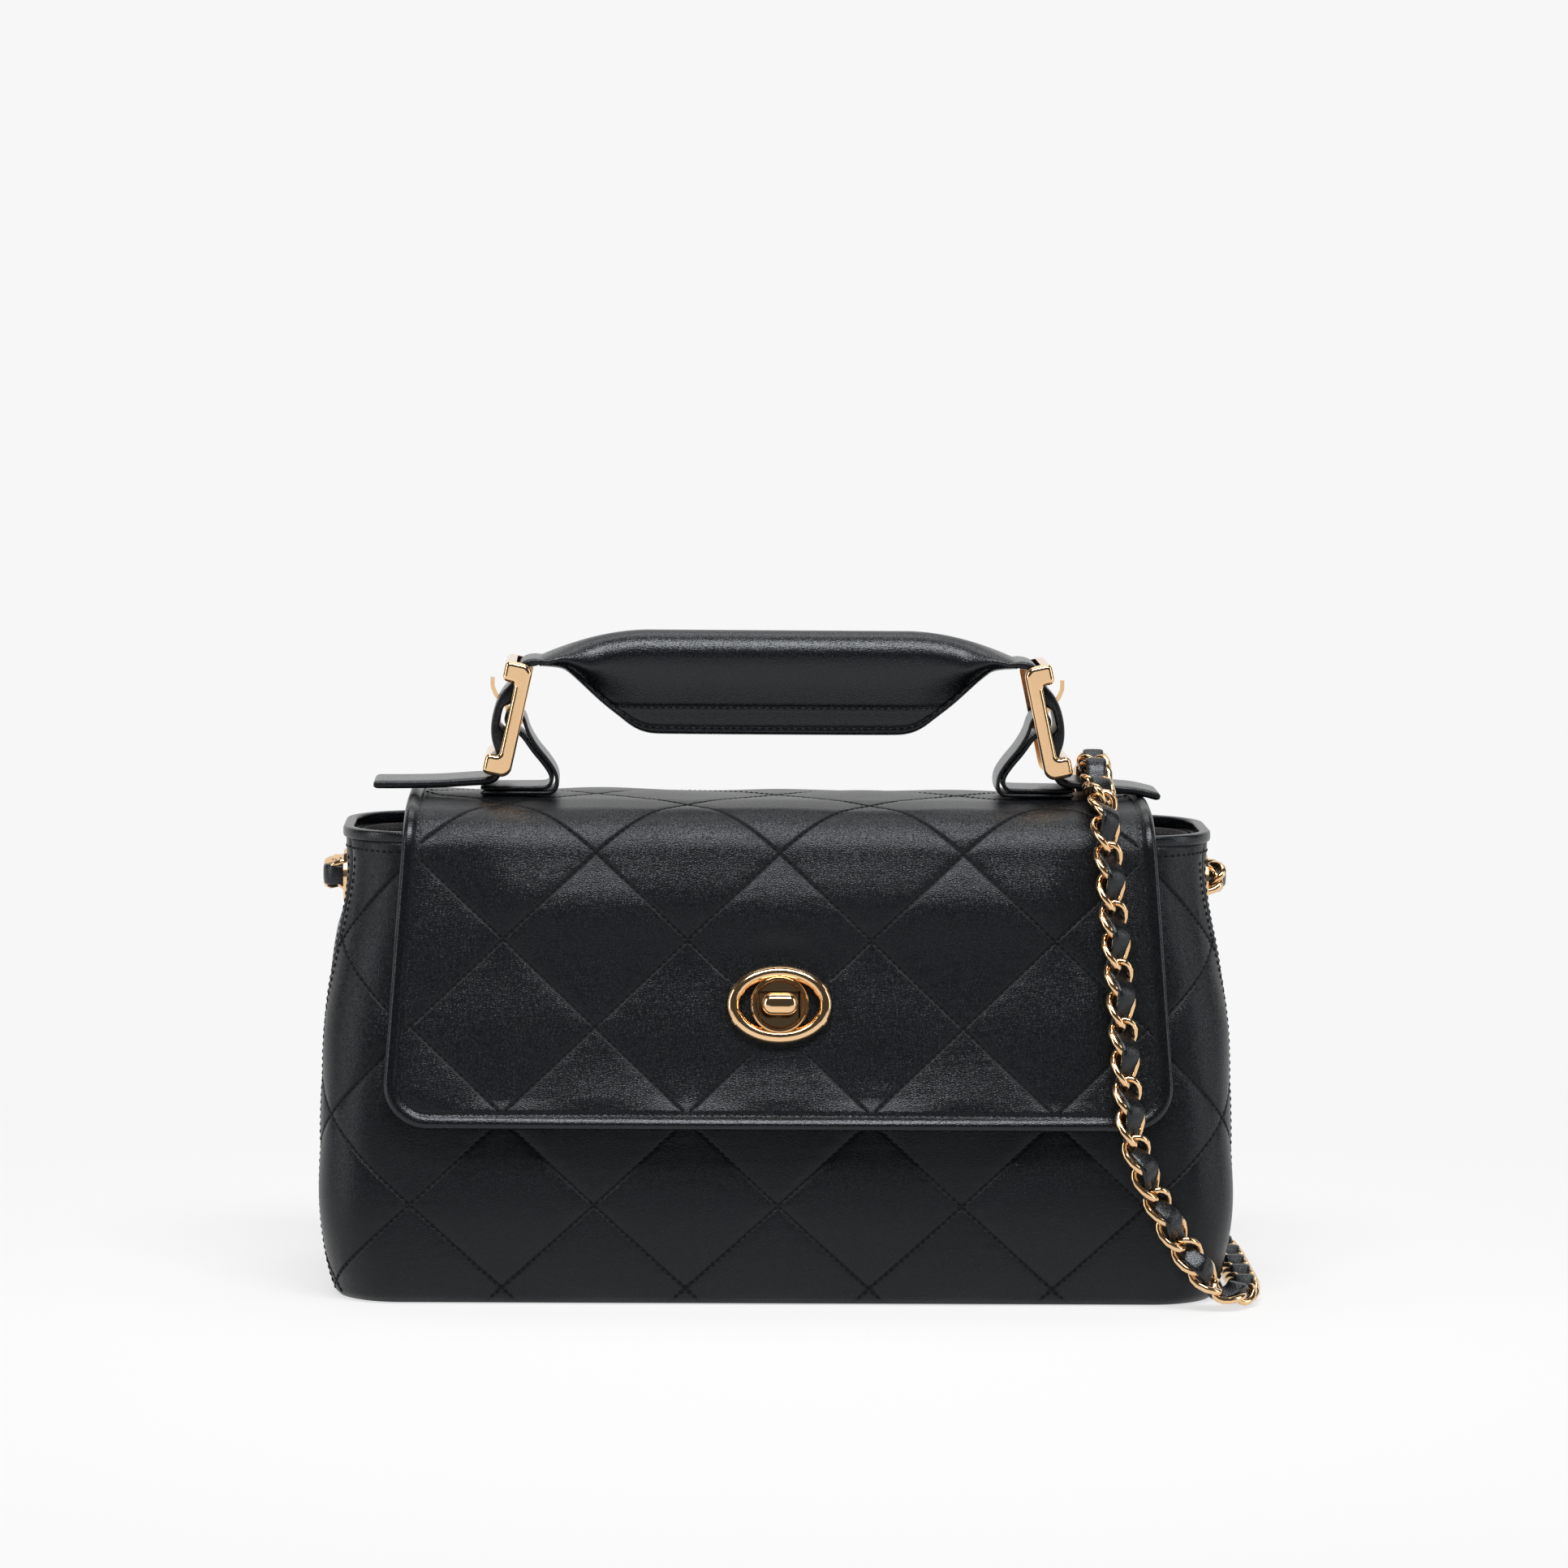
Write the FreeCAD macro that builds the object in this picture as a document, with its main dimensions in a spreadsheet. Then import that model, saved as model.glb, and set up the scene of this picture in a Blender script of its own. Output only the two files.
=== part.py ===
import FreeCAD, Part
import Sketcher
import math
import os

V = FreeCAD.Vector
X_AXIS = V(1, 0, 0)
Y_AXIS = V(0, 1, 0)
Z_AXIS = V(0, 0, 1)

# Driving dimensions in millimetres: alias, value, meaning
SIZES = [
    ("belly_width", 218.2, "outer width at the widest place"),
    ("belly_depth", 84, "outer depth at the widest place"),
    ("body_height", 111, "height of the rim"),
    ("base_corner", 15, "corner radius at the base"),
    ("rim_corner", 18, "corner radius at the rim"),
    ("wall", 2.6, "padded wall thickness"),
    ("base_wall", 2.4, "base panel thickness"),
    ("board", 1.8, "base board thickness"),
    ("lining", 0.8, "lining thickness"),
    ("layer_gap", 0.25, "clearance between layers"),
    ("rim_band", 2.4, "height of the bound rim"),
    ("overrun", 5, "how far every cut runs past its face"),
    ("flap_corner", 9, "corner radius of the flap"),
    ("flap_leather", 2.6, "padded flap leather thickness"),
    ("flap_lining_wall", 0.8, "flap lining thickness"),
    ("flap_gap", 2.4, "room between front panel and flap"),
    ("flap_top_gap", 3.8, "room between rim and flap"),
    ("flap_fold", 7, "inner radius of the front fold"),
    ("binding", 2.6, "width of the bound flap edge"),
    ("strip", 2, "thickness of the leather hinge"),
    ("strip_fold", 6, "inner radius of the leather hinge"),
    ("strip_lap", 13, "lap of the leather hinge on the back panel"),
    ("pocket_depth", 9, "slip pocket depth"),
    ("pocket_wall", 0.9, "slip pocket leather thickness"),
    ("eyelet_bore", 4.8, "eyelet bore radius"),
    ("eyelet_tube", 0.5, "eyelet tube wall"),
    ("eyelet_flange", 7, "eyelet flange radius"),
    ("eyelet_lip", 1, "eyelet flange thickness"),
    ("washer", 0.8, "washer thickness"),
    ("toggle_radius", 1.3, "radius of the toggle bar"),
    ("toggle_length", 16, "length of the toggle bar"),
    ("lock_flange", 8, "lock base radius"),
    ("lock_plate", 1, "lock base thickness"),
    ("lock_bearing", 2.4, "lock bearing radius"),
    ("spindle", 1.5, "spindle radius"),
    ("running_gap", 0.05, "running clearance of the spindle"),
    ("knob_width", 8.6, "knob width"),
    ("knob_tall", 5.2, "knob height"),
    ("knob_deep", 4.6, "knob depth"),
    ("frame_width", 25, "lock frame width"),
    ("frame_tall", 18.4, "lock frame height"),
    ("frame_thick", 2.2, "lock frame thickness"),
    ("frame_wire", 1.6, "lock frame wire radius"),
    ("band_wire", 1.85, "radius of the bands on the lock frame"),
    ("band_long", 1.5, "length of the bands on the lock frame"),
    ("collar", 6.9, "lock collar radius"),
    ("collar_rim", 1.5, "lock collar rim width"),
    ("collar_bevel", 0.5, "bevel of the lock collar rim"),
    ("collar_floor", 1, "thickness of the lock collar inside its rim"),
    ("back_inset", 2.6, "how far the back plate stays inside the lock frame"),
    ("back_corner", 6.4, "back plate corner radius"),
    ("slot_gap", 0.6, "room round the knob in its slot"),
    ("back_plate", 0.8, "lock frame back plate thickness"),
    ("handle_rise", 40, "top of the handle above the flap"),
    ("handle_gap", 14.9, "gap under the handle above the flap"),
    ("handle_flat", 31.5, "half length of the full handle section"),
    ("handle_shoulder", 43, "half length to the sloping shoulder"),
    ("handle_neck", 52, "half length to the flat neck"),
    ("handle_end", 57, "half length to the strap"),
    ("strap_fold", 2.2, "radius of the strap's bend into the buckle"),
    ("strap_wave", 4, "radius of the strap's bends over the bar"),
    ("handle_round", 6, "half thickness of the handle at its fold"),
    ("handle_seam", 2.5, "half thickness of the handle at its seam"),
    ("filler", 3.4, "radius of the filler roll"),
    ("strap_width", 19, "strap width"),
    ("strap", 2.2, "strap thickness"),
    ("strap_rise", 32.2, "strap above the flap where it leaves the handle"),
    ("bar_out", 63.4, "distance of the buckle bar from the middle"),
    ("bar_rise", 18.3, "buckle bar above the flap"),
    ("lean", 12, "lean of the buckles in degrees"),
    ("buckle_length", 27.8, "buckle length"),
    ("buckle_rail", 3.6, "buckle rail thickness"),
    ("buckle_side", 2.4, "buckle rail width"),
    ("buckle_block", 5, "length of the buckle end blocks"),
    ("buckle_reach", 3.2, "how far the end blocks stand out"),
    ("buckle_bridge", 2.5, "thickness of the buckle end bars"),
    ("buckle_gap", 0.6, "room between strap and rails"),
    ("bar_radius", 1.3, "buckle bar radius"),
    ("buckle_heel", 2.6, "radius of the buckle at the back of its ends"),
    ("buckle_nose", 1.3, "radius of the front edges of the end blocks"),
    ("buckle_crook", 0.8, "radius between rail and end block"),
    ("buckle_soft", 1.1, "radius of the edges of the buckle's sides"),
    ("chape", 2.2, "chape thickness, both plies"),
    ("chape_width", 17, "chape width"),
    ("chape_knee", 50.5, "distance of the chape fold from the middle"),
    ("chape_fold", 2.2, "radius of the chape fold"),
    ("chape_end", 71, "distance of the chape end from the middle"),
    ("turn_gap", 0.12, "clearance of what turns on the buckle bar"),
    ("prong", 0.5, "prong wire radius"),
    ("prong_bend", 2.5, "radius of the prong's bends"),
    ("prong_slot", 1.5, "half width of the prong slots"),
    ("tail_bend", 1.3, "radius of the bend into the tail"),
    ("tail_gap", 0.2, "clearance between tail and chape"),
    ("link_length", 8.7, "link length on the wire's centre line"),
    ("link_width", 6.5, "link width on the wire's centre line"),
    ("link_wire", 0.75, "link wire radius"),
    ("link_twist", 45, "twist of a link end in degrees"),
    ("link_pitch", 7, "distance from link to link"),
    ("lace_width", 5, "lace width"),
    ("lace_thick", 1.8, "lace thickness"),
    ("lace_front", 2.3, "how far the lace stands in front of the links"),
    ("lace_back", 1.4, "how far the lace goes behind the links"),
]

# Sizes that follow a main size: alias, main size, share of it, meaning
SIZE_SHARES = [
    ("base_width", "belly_width", 0.9643, "outer width at the base"),
    ("foot_width", "belly_width", 0.9959, "outer width above the base"),
    ("flank_width", "belly_width", 0.9963, "outer width above the widest place"),
    ("shoulder_width", "belly_width", 0.9817, "outer width where the sides draw in"),
    ("waist_width", "belly_width", 0.9468, "outer width at the eyelets"),
    ("rim_width", "belly_width", 0.9615, "outer width at the rim"),
    ("flap_top_width", "belly_width", 0.8158, "flap width at the top"),
    ("flap_low_width", "belly_width", 0.857, "flap width at the lower edge"),
    ("pocket_width", "belly_width", 0.55, "slip pocket width"),
    ("left_tail", "belly_width", 0.4445, "distance of the left tail end from the middle"),
    ("right_tail", "belly_width", 0.4216, "distance of the right tail end from the middle"),
    ("base_depth", "belly_depth", 0.9524, "outer depth at the base"),
    ("foot_depth", "belly_depth", 1.0222, "outer depth above the base"),
    ("flank_depth", "belly_depth", 0.919, "outer depth above the widest place"),
    ("shoulder_depth", "belly_depth", 0.8214, "outer depth where the sides draw in"),
    ("waist_depth", "belly_depth", 0.7143, "outer depth at the eyelets"),
    ("rim_depth", "belly_depth", 0.6429, "outer depth at the rim"),
    ("gusset_base", "belly_depth", 0.6429, "gusset width at the base"),
    ("gusset_rim", "belly_depth", 0.381, "gusset width at the rim"),
    ("flap_rear", "belly_depth", 0.2262, "distance of the flap's rear edge behind the middle"),
    ("foot_height", "body_height", 0.1441, "height where the sides leave the base"),
    ("belly_height", "body_height", 0.3243, "height of the widest place"),
    ("flank_height", "body_height", 0.5045, "height above the widest place"),
    ("shoulder_height", "body_height", 0.6847, "height where the sides draw in"),
    ("eyelet_height", "body_height", 0.8802, "height of the eyelets and the waist"),
    ("lock_height", "body_height", 0.6396, "height of the lock"),
    ("flap_low_height", "body_height", 0.3856, "height of the lower edge of the flap"),
    ("pocket_height", "body_height", 0.3604, "slip pocket height"),
]

# Counts
FRONT_LINK_RINGS = 10
FRONT_LINK_SIDES = 6
HIDDEN_LINK_RINGS = 8
HIDDEN_LINK_SIDES = 4

# Link outline, exponent of the oval
LINK_OVAL_SHARE = 0.82

# Strap in a buckle: distance out from the rails as shares of the bulge, height as shares of half the buckle
STRAP_BULGE_SHARES = [(0, 1.0), (0, 0.66), (1, 0.26), (1, -0.26), (0, -0.66), (0, -0.97)]

# Prong: distance out as shares of the buckle's reach, height as shares of half the buckle
PRONG_SHARES = [(0, 0), (0, 0.13), (0.95, 0.3), (1.3, 0.44), (1.42, 0.6)]

# Handle towards its ends: top and lower edge as shares of its height, half widths as shares of the way from
# the middle section to the strap
SHOULDER_SHARES = (0.95, 0.35, 0.35, 0.3)
NECK_SHARES = (0.8, 0.62, 0.95, 0.95)
# Rounded part of a handle section, as a share of its height
CROWN_SHARE = 0.22

# Rounding of the lock knob, as shares of its height
KNOB_END_SHARE = 0.47
KNOB_CROWN_SHARE = 0.4

# Bands on the lock frame, in shares of a full turn from its right end
BAND_SHARES = (0.075, 0.425, 0.575, 0.925)

# Chain route from the left eyelet behind the bag, over the flap, down the front, along the right side on
# the floor and up to the right eyelet: place as shares of half the waist, half the depth and the height of
# the bag, then the way the flat of the chain faces
ROUTE_SHARES = [
    (-0.9104, 0, 0.8802, 0, -1, 0),
    (-1.0501, 0.0238, 0.8802, -1, -1, 0),
    (-1.0328, 0.4048, 0.8784, -1, 0.1, 0),
    (-1.0067, 0.7381, 0.8604, -1, 1, 0),
    (-0.8574, 0.881, 0.7928, 0, 1, 0.2),
    (-0.5973, 0.9524, 0.6486, 0, 1, 0.2),
    (-0.289, 1.032, 0.545, 0, 1, 0.2),
    (0.0193, 1.052, 0.518, 0, 1, 0.2),
    (0.3083, 1.027, 0.5586, 0, 1, 0.2),
    (0.5395, 0.9524, 0.6667, 0, 1, 0.2),
    (0.6744, 0.8952, 0.8108, 0, 1, 0.2),
    (0.737, 0.8667, 0.964, 0, 1, 0.2),
    (0.7534, 0.7857, 1.0946, 0, 1, 1),
    (0.7495, 0.4048, 1.0937, 0, 0, 1),
    (0.7457, 0.2143, 1.1369, 0, 0, 1),
    (0.7418, -0.2143, 1.1369, 0, 0, 1),
    (0.7399, -0.4048, 1.0955, 0, 0, 1),
    (0.7399, -0.7381, 1.0991, 0, -0.6, 1),
    (0.7495, -0.9048, 0.991, 0, -1, 0.3),
    (0.7649, -0.9714, 0.8288, 0, -1, 0.2),
    (0.7823, -1.0667, 0.6486, 0, -1, 0.2),
    (0.7938, -1.1643, 0.4685, 0, -1, 0.2),
    (0.8092, -1.2143, 0.3604, 0, -1, 0.2),
    (0.8671, -1.1619, 0.2342, 0, -1, 0.1),
    (0.9393, -1.1286, 0.1216, 0.2, -1, 0.3),
    (1.0164, -1.0857, 0.0378, 0.1, -0.5, 1),
    (1.0697, -0.9643, 0.0243, 0, 0, 1),
    (1.092, -0.6429, 0.0243, 0, 0, 1),
    (1.09, -0.119, 0.0243, 0, 0, 1),
    (1.0939, 0.4286, 0.0243, 0, 0, 1),
    (1.0794, 0.9048, 0.0243, 0, 0, 1),
    (1.0213, 1.2024, 0.0261, 0, 0.4, 1),
    (0.9778, 1.2143, 0.1171, 0, 1, 0.4),
    (0.9393, 1.125, 0.3243, 0, 1, 0.2),
    (0.92, 1.035, 0.5405, 0, 1, 0.2),
    (0.9393, 0.925, 0.7387, 0, 1, 0.2),
    (1.0067, 0.7381, 0.8604, 1, 1, 0),
    (1.0328, 0.4048, 0.8784, 1, 0.1, 0),
    (1.0501, 0.0238, 0.8802, 1, -1, 0),
    (0.9104, 0, 0.8802, 0, -1, 0),
]
# Route points before and after the stretch whose links show in front and are finer
FRONT_FIRST_COUNT = 12
FRONT_LAST_COUNT = 27
# Share of the shorter run that a bend of the route takes
BEND_SHARE = 0.45

doc = FreeCAD.newDocument("chain_bag")
sheet = doc.addObject("Spreadsheet::Sheet", "Sizes")
for row, (alias, value, meaning) in enumerate(SIZES, start=1):
    sheet.set(f"A{row}", meaning)
    sheet.set(f"B{row}", str(value))
    sheet.setAlias(f"B{row}", alias)
for row, (alias, main, share, meaning) in enumerate(SIZE_SHARES, start=len(SIZES) + 1):
    sheet.set(f"A{row}", meaning)
    sheet.set(f"B{row}", f"={main} * {share}")
    sheet.setAlias(f"B{row}", alias)
doc.recompute()

solids = {}


def size(alias):
    return float(sheet.get(alias))


def keep(label, item):
    """Label an object of the document as a sub-part that is written to a file of its own."""
    item.Label = label
    solids[label] = item
    return item


def keep_shape(label, shape):
    item = doc.addObject("Part::Feature", label)
    item.Shape = shape
    return keep(label, item)


# Flat outlines and ribbons

def arc_edge(first, middle, last):
    return Part.Arc(first, middle, last).toShape()


def line_edge(first, last):
    return Part.LineSegment(first, last).toShape()


def offset_line(points, radii, offset, lift):
    """Edges of a bent line, moved to the right of its run by offset. lift turns (a, b) into space."""
    edges = []
    ways = []
    for start, end in zip(points, points[1:]):
        run = math.hypot(end[0] - start[0], end[1] - start[1])
        ways.append(((end[0] - start[0]) / run, (end[1] - start[1]) / run))

    def beside(point, way):
        return lift(point[0] + way[1] * offset, point[1] - way[0] * offset)

    at = beside(points[0], ways[0])
    for corner, before, after, radius in zip(points[1:-1], ways, ways[1:], radii):
        cross = before[0] * after[1] - before[1] * after[0]
        dot = before[0] * after[0] + before[1] * after[1]
        turn = math.atan2(cross, dot)
        reach = radius * math.tan(abs(turn) / 2)
        side = math.copysign(1, turn)
        enter = (corner[0] - before[0] * reach, corner[1] - before[1] * reach)
        leave = (corner[0] + after[0] * reach, corner[1] + after[1] * reach)
        centre = (enter[0] - before[1] * side * radius, enter[1] + before[0] * side * radius)
        away = math.hypot(corner[0] - centre[0], corner[1] - centre[1])
        bend = radius + side * offset
        middle = lift(
            centre[0] + (corner[0] - centre[0]) / away * bend,
            centre[1] + (corner[1] - centre[1]) / away * bend,
        )
        edges.append(line_edge(at, beside(enter, before)))
        at = beside(leave, after)
        edges.append(arc_edge(beside(enter, before), middle, at))
    edges.append(line_edge(at, beside(points[-1], ways[-1])))
    return edges


def ribbon(points, radii, near, far, lift, sweep):
    """A bent sheet between two offsets of a line, drawn in a plane and stretched along sweep."""
    inner = offset_line(points, radii, near, lift)
    outer = offset_line(points, radii, far, lift)
    ends = [
        line_edge(inner[0].valueAt(inner[0].FirstParameter), outer[0].valueAt(outer[0].FirstParameter)),
        line_edge(inner[-1].valueAt(inner[-1].LastParameter), outer[-1].valueAt(outer[-1].LastParameter)),
    ]
    outline = Part.Wire(Part.__sortEdges__(inner + outer + ends))
    sheet_solid = Part.Face(outline).extrude(sweep)
    sheet_solid.translate(sweep * -0.5)
    return sheet_solid


def in_side_view(a, b):
    return V(0, a, b)


def in_front_view(a, b):
    return V(a, 0, b)


def rounded_section(width, depth, radius, height):
    """A rectangle with round corners at one height."""
    a = width / 2
    b = depth / 2
    slant = radius * (1 - math.sqrt(0.5))
    edges = []
    corners = [(1, -1), (1, 1), (-1, 1), (-1, -1)]
    starts = []
    for sx, sy in corners:
        across = V(sx * (a - radius), sy * b, height)
        along = V(sx * a, sy * (b - radius), height)
        middle = V(sx * (a - slant), sy * (b - slant), height)
        first, last = (across, along) if sx * sy < 0 else (along, across)
        starts.append((first, middle, last))
    for here, there in zip(starts, starts[1:] + starts[:1]):
        edges.append(arc_edge(*here))
        edges.append(line_edge(here[2], there[0]))
    return Part.Wire(edges)


def body_form(inset):
    """The bag's form from floor to rim, drawn in by inset."""
    rows = [
        ("base_width", "base_depth", 0),
        ("foot_width", "foot_depth", size("foot_height")),
        ("belly_width", "belly_depth", size("belly_height")),
        ("flank_width", "flank_depth", size("flank_height")),
        ("shoulder_width", "shoulder_depth", size("shoulder_height")),
        ("waist_width", "waist_depth", size("eyelet_height")),
        ("rim_width", "rim_depth", size("body_height")),
    ]
    sections = []
    for width, depth, height in rows:
        rise_share = height / size("body_height")
        radius = size("base_corner") + (size("rim_corner") - size("base_corner")) * rise_share
        row_width = size(width) - 2 * inset
        row_depth = size(depth) - 2 * inset
        sections.append(rounded_section(row_width, row_depth, radius - inset, height))
    return Part.makeLoft(sections, True, False)


def slab(low, high):
    """A box wider than the bag between two heights."""
    reach = size("belly_width")
    return Part.makeBox(2 * reach, 2 * reach, high - low, V(-reach, -reach, low))


# Body of the bag
layer = size("wall") + size("layer_gap")
outer_form = body_form(0)
wall_form = body_form(size("wall"))
lining_form = body_form(layer)
room_form = body_form(layer + size("lining"))
band_low = size("body_height") - size("rim_band")
board_top = size("base_wall") + size("board")

walls = outer_form.cut(wall_form).common(slab(-size("overrun"), band_low))
gusset_rows = [(size("gusset_base") / 2, 0), (size("gusset_rim") / 2, size("body_height"))]
gusset_corners = [
    V(-size("belly_width"), -gusset_rows[0][0], 0),
    V(-size("belly_width"), gusset_rows[0][0], 0),
    V(-size("belly_width"), gusset_rows[1][0], size("body_height")),
    V(-size("belly_width"), -gusset_rows[1][0], size("body_height")),
]
gusset_face = Part.Face(Part.makePolygon(gusset_corners + gusset_corners[:1]))
gusset_zone = gusset_face.extrude(X_AXIS * 2 * size("belly_width"))
panels = sorted(walls.cut(gusset_zone).Solids, key=lambda s: s.CenterOfMass.y)
gussets = sorted(walls.common(gusset_zone).Solids, key=lambda s: s.CenterOfMass.x)

# The lock stands square on the front panel
panel_rise = size("shoulder_height") - size("belly_height")
lock_share = (size("lock_height") - size("belly_height")) / panel_rise
lock_out = size("belly_depth") / 2 + (size("shoulder_depth") - size("belly_depth")) / 2 * lock_share
panel_lean = math.degrees(math.atan2((size("belly_depth") - size("shoulder_depth")) / 2, panel_rise))
lock_turn = FreeCAD.Rotation(X_AXIS, 90 - panel_lean)
lock_place = FreeCAD.Placement(V(0, -lock_out, size("lock_height")), lock_turn)


def at_lock(shape):
    shape.Placement = lock_place.multiply(shape.Placement)
    return shape


lock_hole = at_lock(
    Part.makeCylinder(
        size("lock_bearing") + size("layer_gap"),
        size("belly_depth"),
        V(0, 0, -size("belly_depth") / 2),
    )
)


def side_hole(radius):
    """A bore through both gussets at the eyelets."""
    start = V(-size("belly_width"), 0, size("eyelet_height"))
    return Part.makeCylinder(radius, 2 * size("belly_width"), start, X_AXIS)


def eyelet_seat(side):
    """The flat that the eyelet's flange presses into the padding of a gusset."""
    start = V(side * size("waist_width") / 2, 0, size("eyelet_height"))
    radius = size("eyelet_flange") + size("layer_gap")
    return Part.makeCylinder(radius, size("belly_width"), start, X_AXIS * side)


eyelet_hole = side_hole(size("eyelet_bore") + size("eyelet_tube") + size("layer_gap"))
keep_shape("front_panel", panels[0].cut(lock_hole))
keep_shape("back_panel", panels[1])
keep_shape("left_gusset", gussets[0].cut(eyelet_hole).cut(eyelet_seat(-1)))
keep_shape("right_gusset", gussets[1].cut(eyelet_hole).cut(eyelet_seat(1)))
keep_shape("base_panel", lining_form.common(slab(0, size("base_wall"))))
keep_shape("base_board", lining_form.common(slab(size("base_wall"), board_top)))
front_half = Part.makeBox(
    2 * size("belly_width"),
    size("belly_depth"),
    size("body_height"),
    V(-size("belly_width"), -size("belly_depth"), 0),
)
lining_cup = lining_form.common(slab(board_top, band_low))
lining_cup = lining_cup.cut(room_form.common(slab(board_top + size("lining"), size("body_height"))))
keep_shape("lining", lining_cup.cut(lock_hole.common(front_half)).cut(eyelet_hole))
keep_shape("rim_binding", outer_form.cut(room_form).common(slab(band_low, size("body_height"))))

# Slip pocket on the back lining: a shallow box, open at the back and the top
pocket_lean = math.degrees(
    math.atan2((size("belly_depth") - size("waist_depth")) / 2, size("eyelet_height") - size("belly_height"))
)
pocket_outer = doc.addObject("Part::Box", "pocket_outer")
pocket_outer.setExpression("Length", "Sizes.pocket_width")
pocket_outer.setExpression("Width", "Sizes.pocket_depth")
pocket_outer.setExpression("Height", "Sizes.pocket_height")
pocket_room = doc.addObject("Part::Box", "pocket_room")
pocket_room.setExpression("Length", "Sizes.pocket_width - 2 * Sizes.pocket_wall")
pocket_room.setExpression("Width", "Sizes.pocket_depth + Sizes.overrun")
pocket_room.setExpression("Height", "Sizes.pocket_height + Sizes.overrun")
pocket_room.setExpression("Placement.Base.x", "Sizes.pocket_wall")
pocket_room.setExpression("Placement.Base.y", "Sizes.pocket_wall")
pocket_room.setExpression("Placement.Base.z", "Sizes.pocket_wall")
slip_pocket = doc.addObject("Part::Cut", "slip_pocket")
slip_pocket.Base = pocket_outer
slip_pocket.Tool = pocket_room
pocket_turn = FreeCAD.Rotation(X_AXIS, pocket_lean)
pocket_in = (layer + size("lining") + size("layer_gap")) / math.cos(math.radians(pocket_lean))
pocket_back = V(0, size("belly_depth") / 2 - pocket_in, size("belly_height"))
pocket_foot = pocket_turn.multVec(V(size("pocket_width") / 2, size("pocket_depth"), 0))
slip_pocket.Placement = FreeCAD.Placement(pocket_back - pocket_foot, pocket_turn)
keep("slip_pocket", slip_pocket)


# Turned metal pieces

def axis_plane(body, role):
    return next(f for f in body.Origin.OriginFeatures if f.Role == role)


def outline_sketch(body, name, role, corners):
    """A closed outline on one of the body's own planes. Every corner is tied to the sheet."""
    sketch = body.newObject("Sketcher::SketchObject", name)
    sketch.AttachmentSupport = [(axis_plane(body, role), "")]
    sketch.MapMode = "FlatFace"
    places = [V(sheet.evalExpression(a), sheet.evalExpression(b), 0) for a, b in corners]
    for here, there in zip(places, places[1:] + places[:1]):
        sketch.addGeometry(Part.LineSegment(here, there))
    count = len(corners)
    for index in range(count):
        sketch.addConstraint(Sketcher.Constraint("Coincident", index, 2, (index + 1) % count, 1))
    for index, (a, b) in enumerate(corners):
        for kind, text, value in (("DistanceX", a, places[index].x), ("DistanceY", b, places[index].y)):
            number = sketch.addConstraint(Sketcher.Constraint(kind, -1, 1, index, 1, value))
            sketch.setExpression(f"Constraints[{number}]", text)
    return sketch


def turned_body(label, corners):
    """A piece turned about its own Z axis from a half outline (radius, height)."""
    body = doc.addObject("PartDesign::Body", label)
    sketch = outline_sketch(body, f"{label}_outline", "XZ_Plane", corners)
    turn = body.newObject("PartDesign::Revolution", f"{label}_turn")
    turn.Profile = sketch
    turn.ReferenceAxis = (sketch, ["V_Axis"])
    turn.Angle = 360
    doc.recompute()
    return keep(label, body)


def padded_outline(body, name, corners, depth, midplane=False, role="XY_Plane"):
    sketch = outline_sketch(body, f"{name}_outline", role, corners)
    pad = body.newObject("PartDesign::Pad", name)
    pad.Profile = sketch
    pad.setExpression("Length", depth)
    pad.Midplane = midplane
    doc.recompute()
    return pad


def box_corners(half_width, half_height):
    return [
        (f"-({half_width})", f"-({half_height})"),
        (half_width, f"-({half_height})"),
        (half_width, half_height),
        (f"-({half_width})", half_height),
    ]


def pocket_outline(body, name, corners, role="XY_Plane"):
    """A cut through the whole body, both ways, that has to take material away."""
    before = body.Shape.Volume
    sketch = outline_sketch(body, f"{name}_outline", role, corners)
    pocket = body.newObject("PartDesign::Pocket", name)
    pocket.Profile = sketch
    pocket.Type = "ThroughAll"
    pocket.Midplane = True
    doc.recompute()
    if body.Shape.Volume >= before:
        raise RuntimeError(f"{name} cuts nothing")
    return pocket


def edges_along(shape, way):
    """Names of the straight edges that run along a direction."""
    names = []
    for number, edge in enumerate(shape.Edges, start=1):
        if edge.Curve.TypeId != "Part::GeomLine":
            continue
        if abs(edge.Curve.Direction.dot(way)) > 0.999:
            names.append(f"Edge{number}")
    return names


def edges_beyond(shape, way, low, high):
    """Names of the edges across the outline whose middle lies between two distances along a direction."""
    names = []
    for name in edges_along(shape, Y_AXIS):
        if low < shape.getElement(name).CenterOfMass.dot(way) < high:
            names.append(name)
    return names


def rounded(body, base, name, names, radius):
    fillet = body.newObject("PartDesign::Fillet", name)
    fillet.Base = (base, names)
    fillet.setExpression("Radius", radius)
    doc.recompute()
    return fillet


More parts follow.
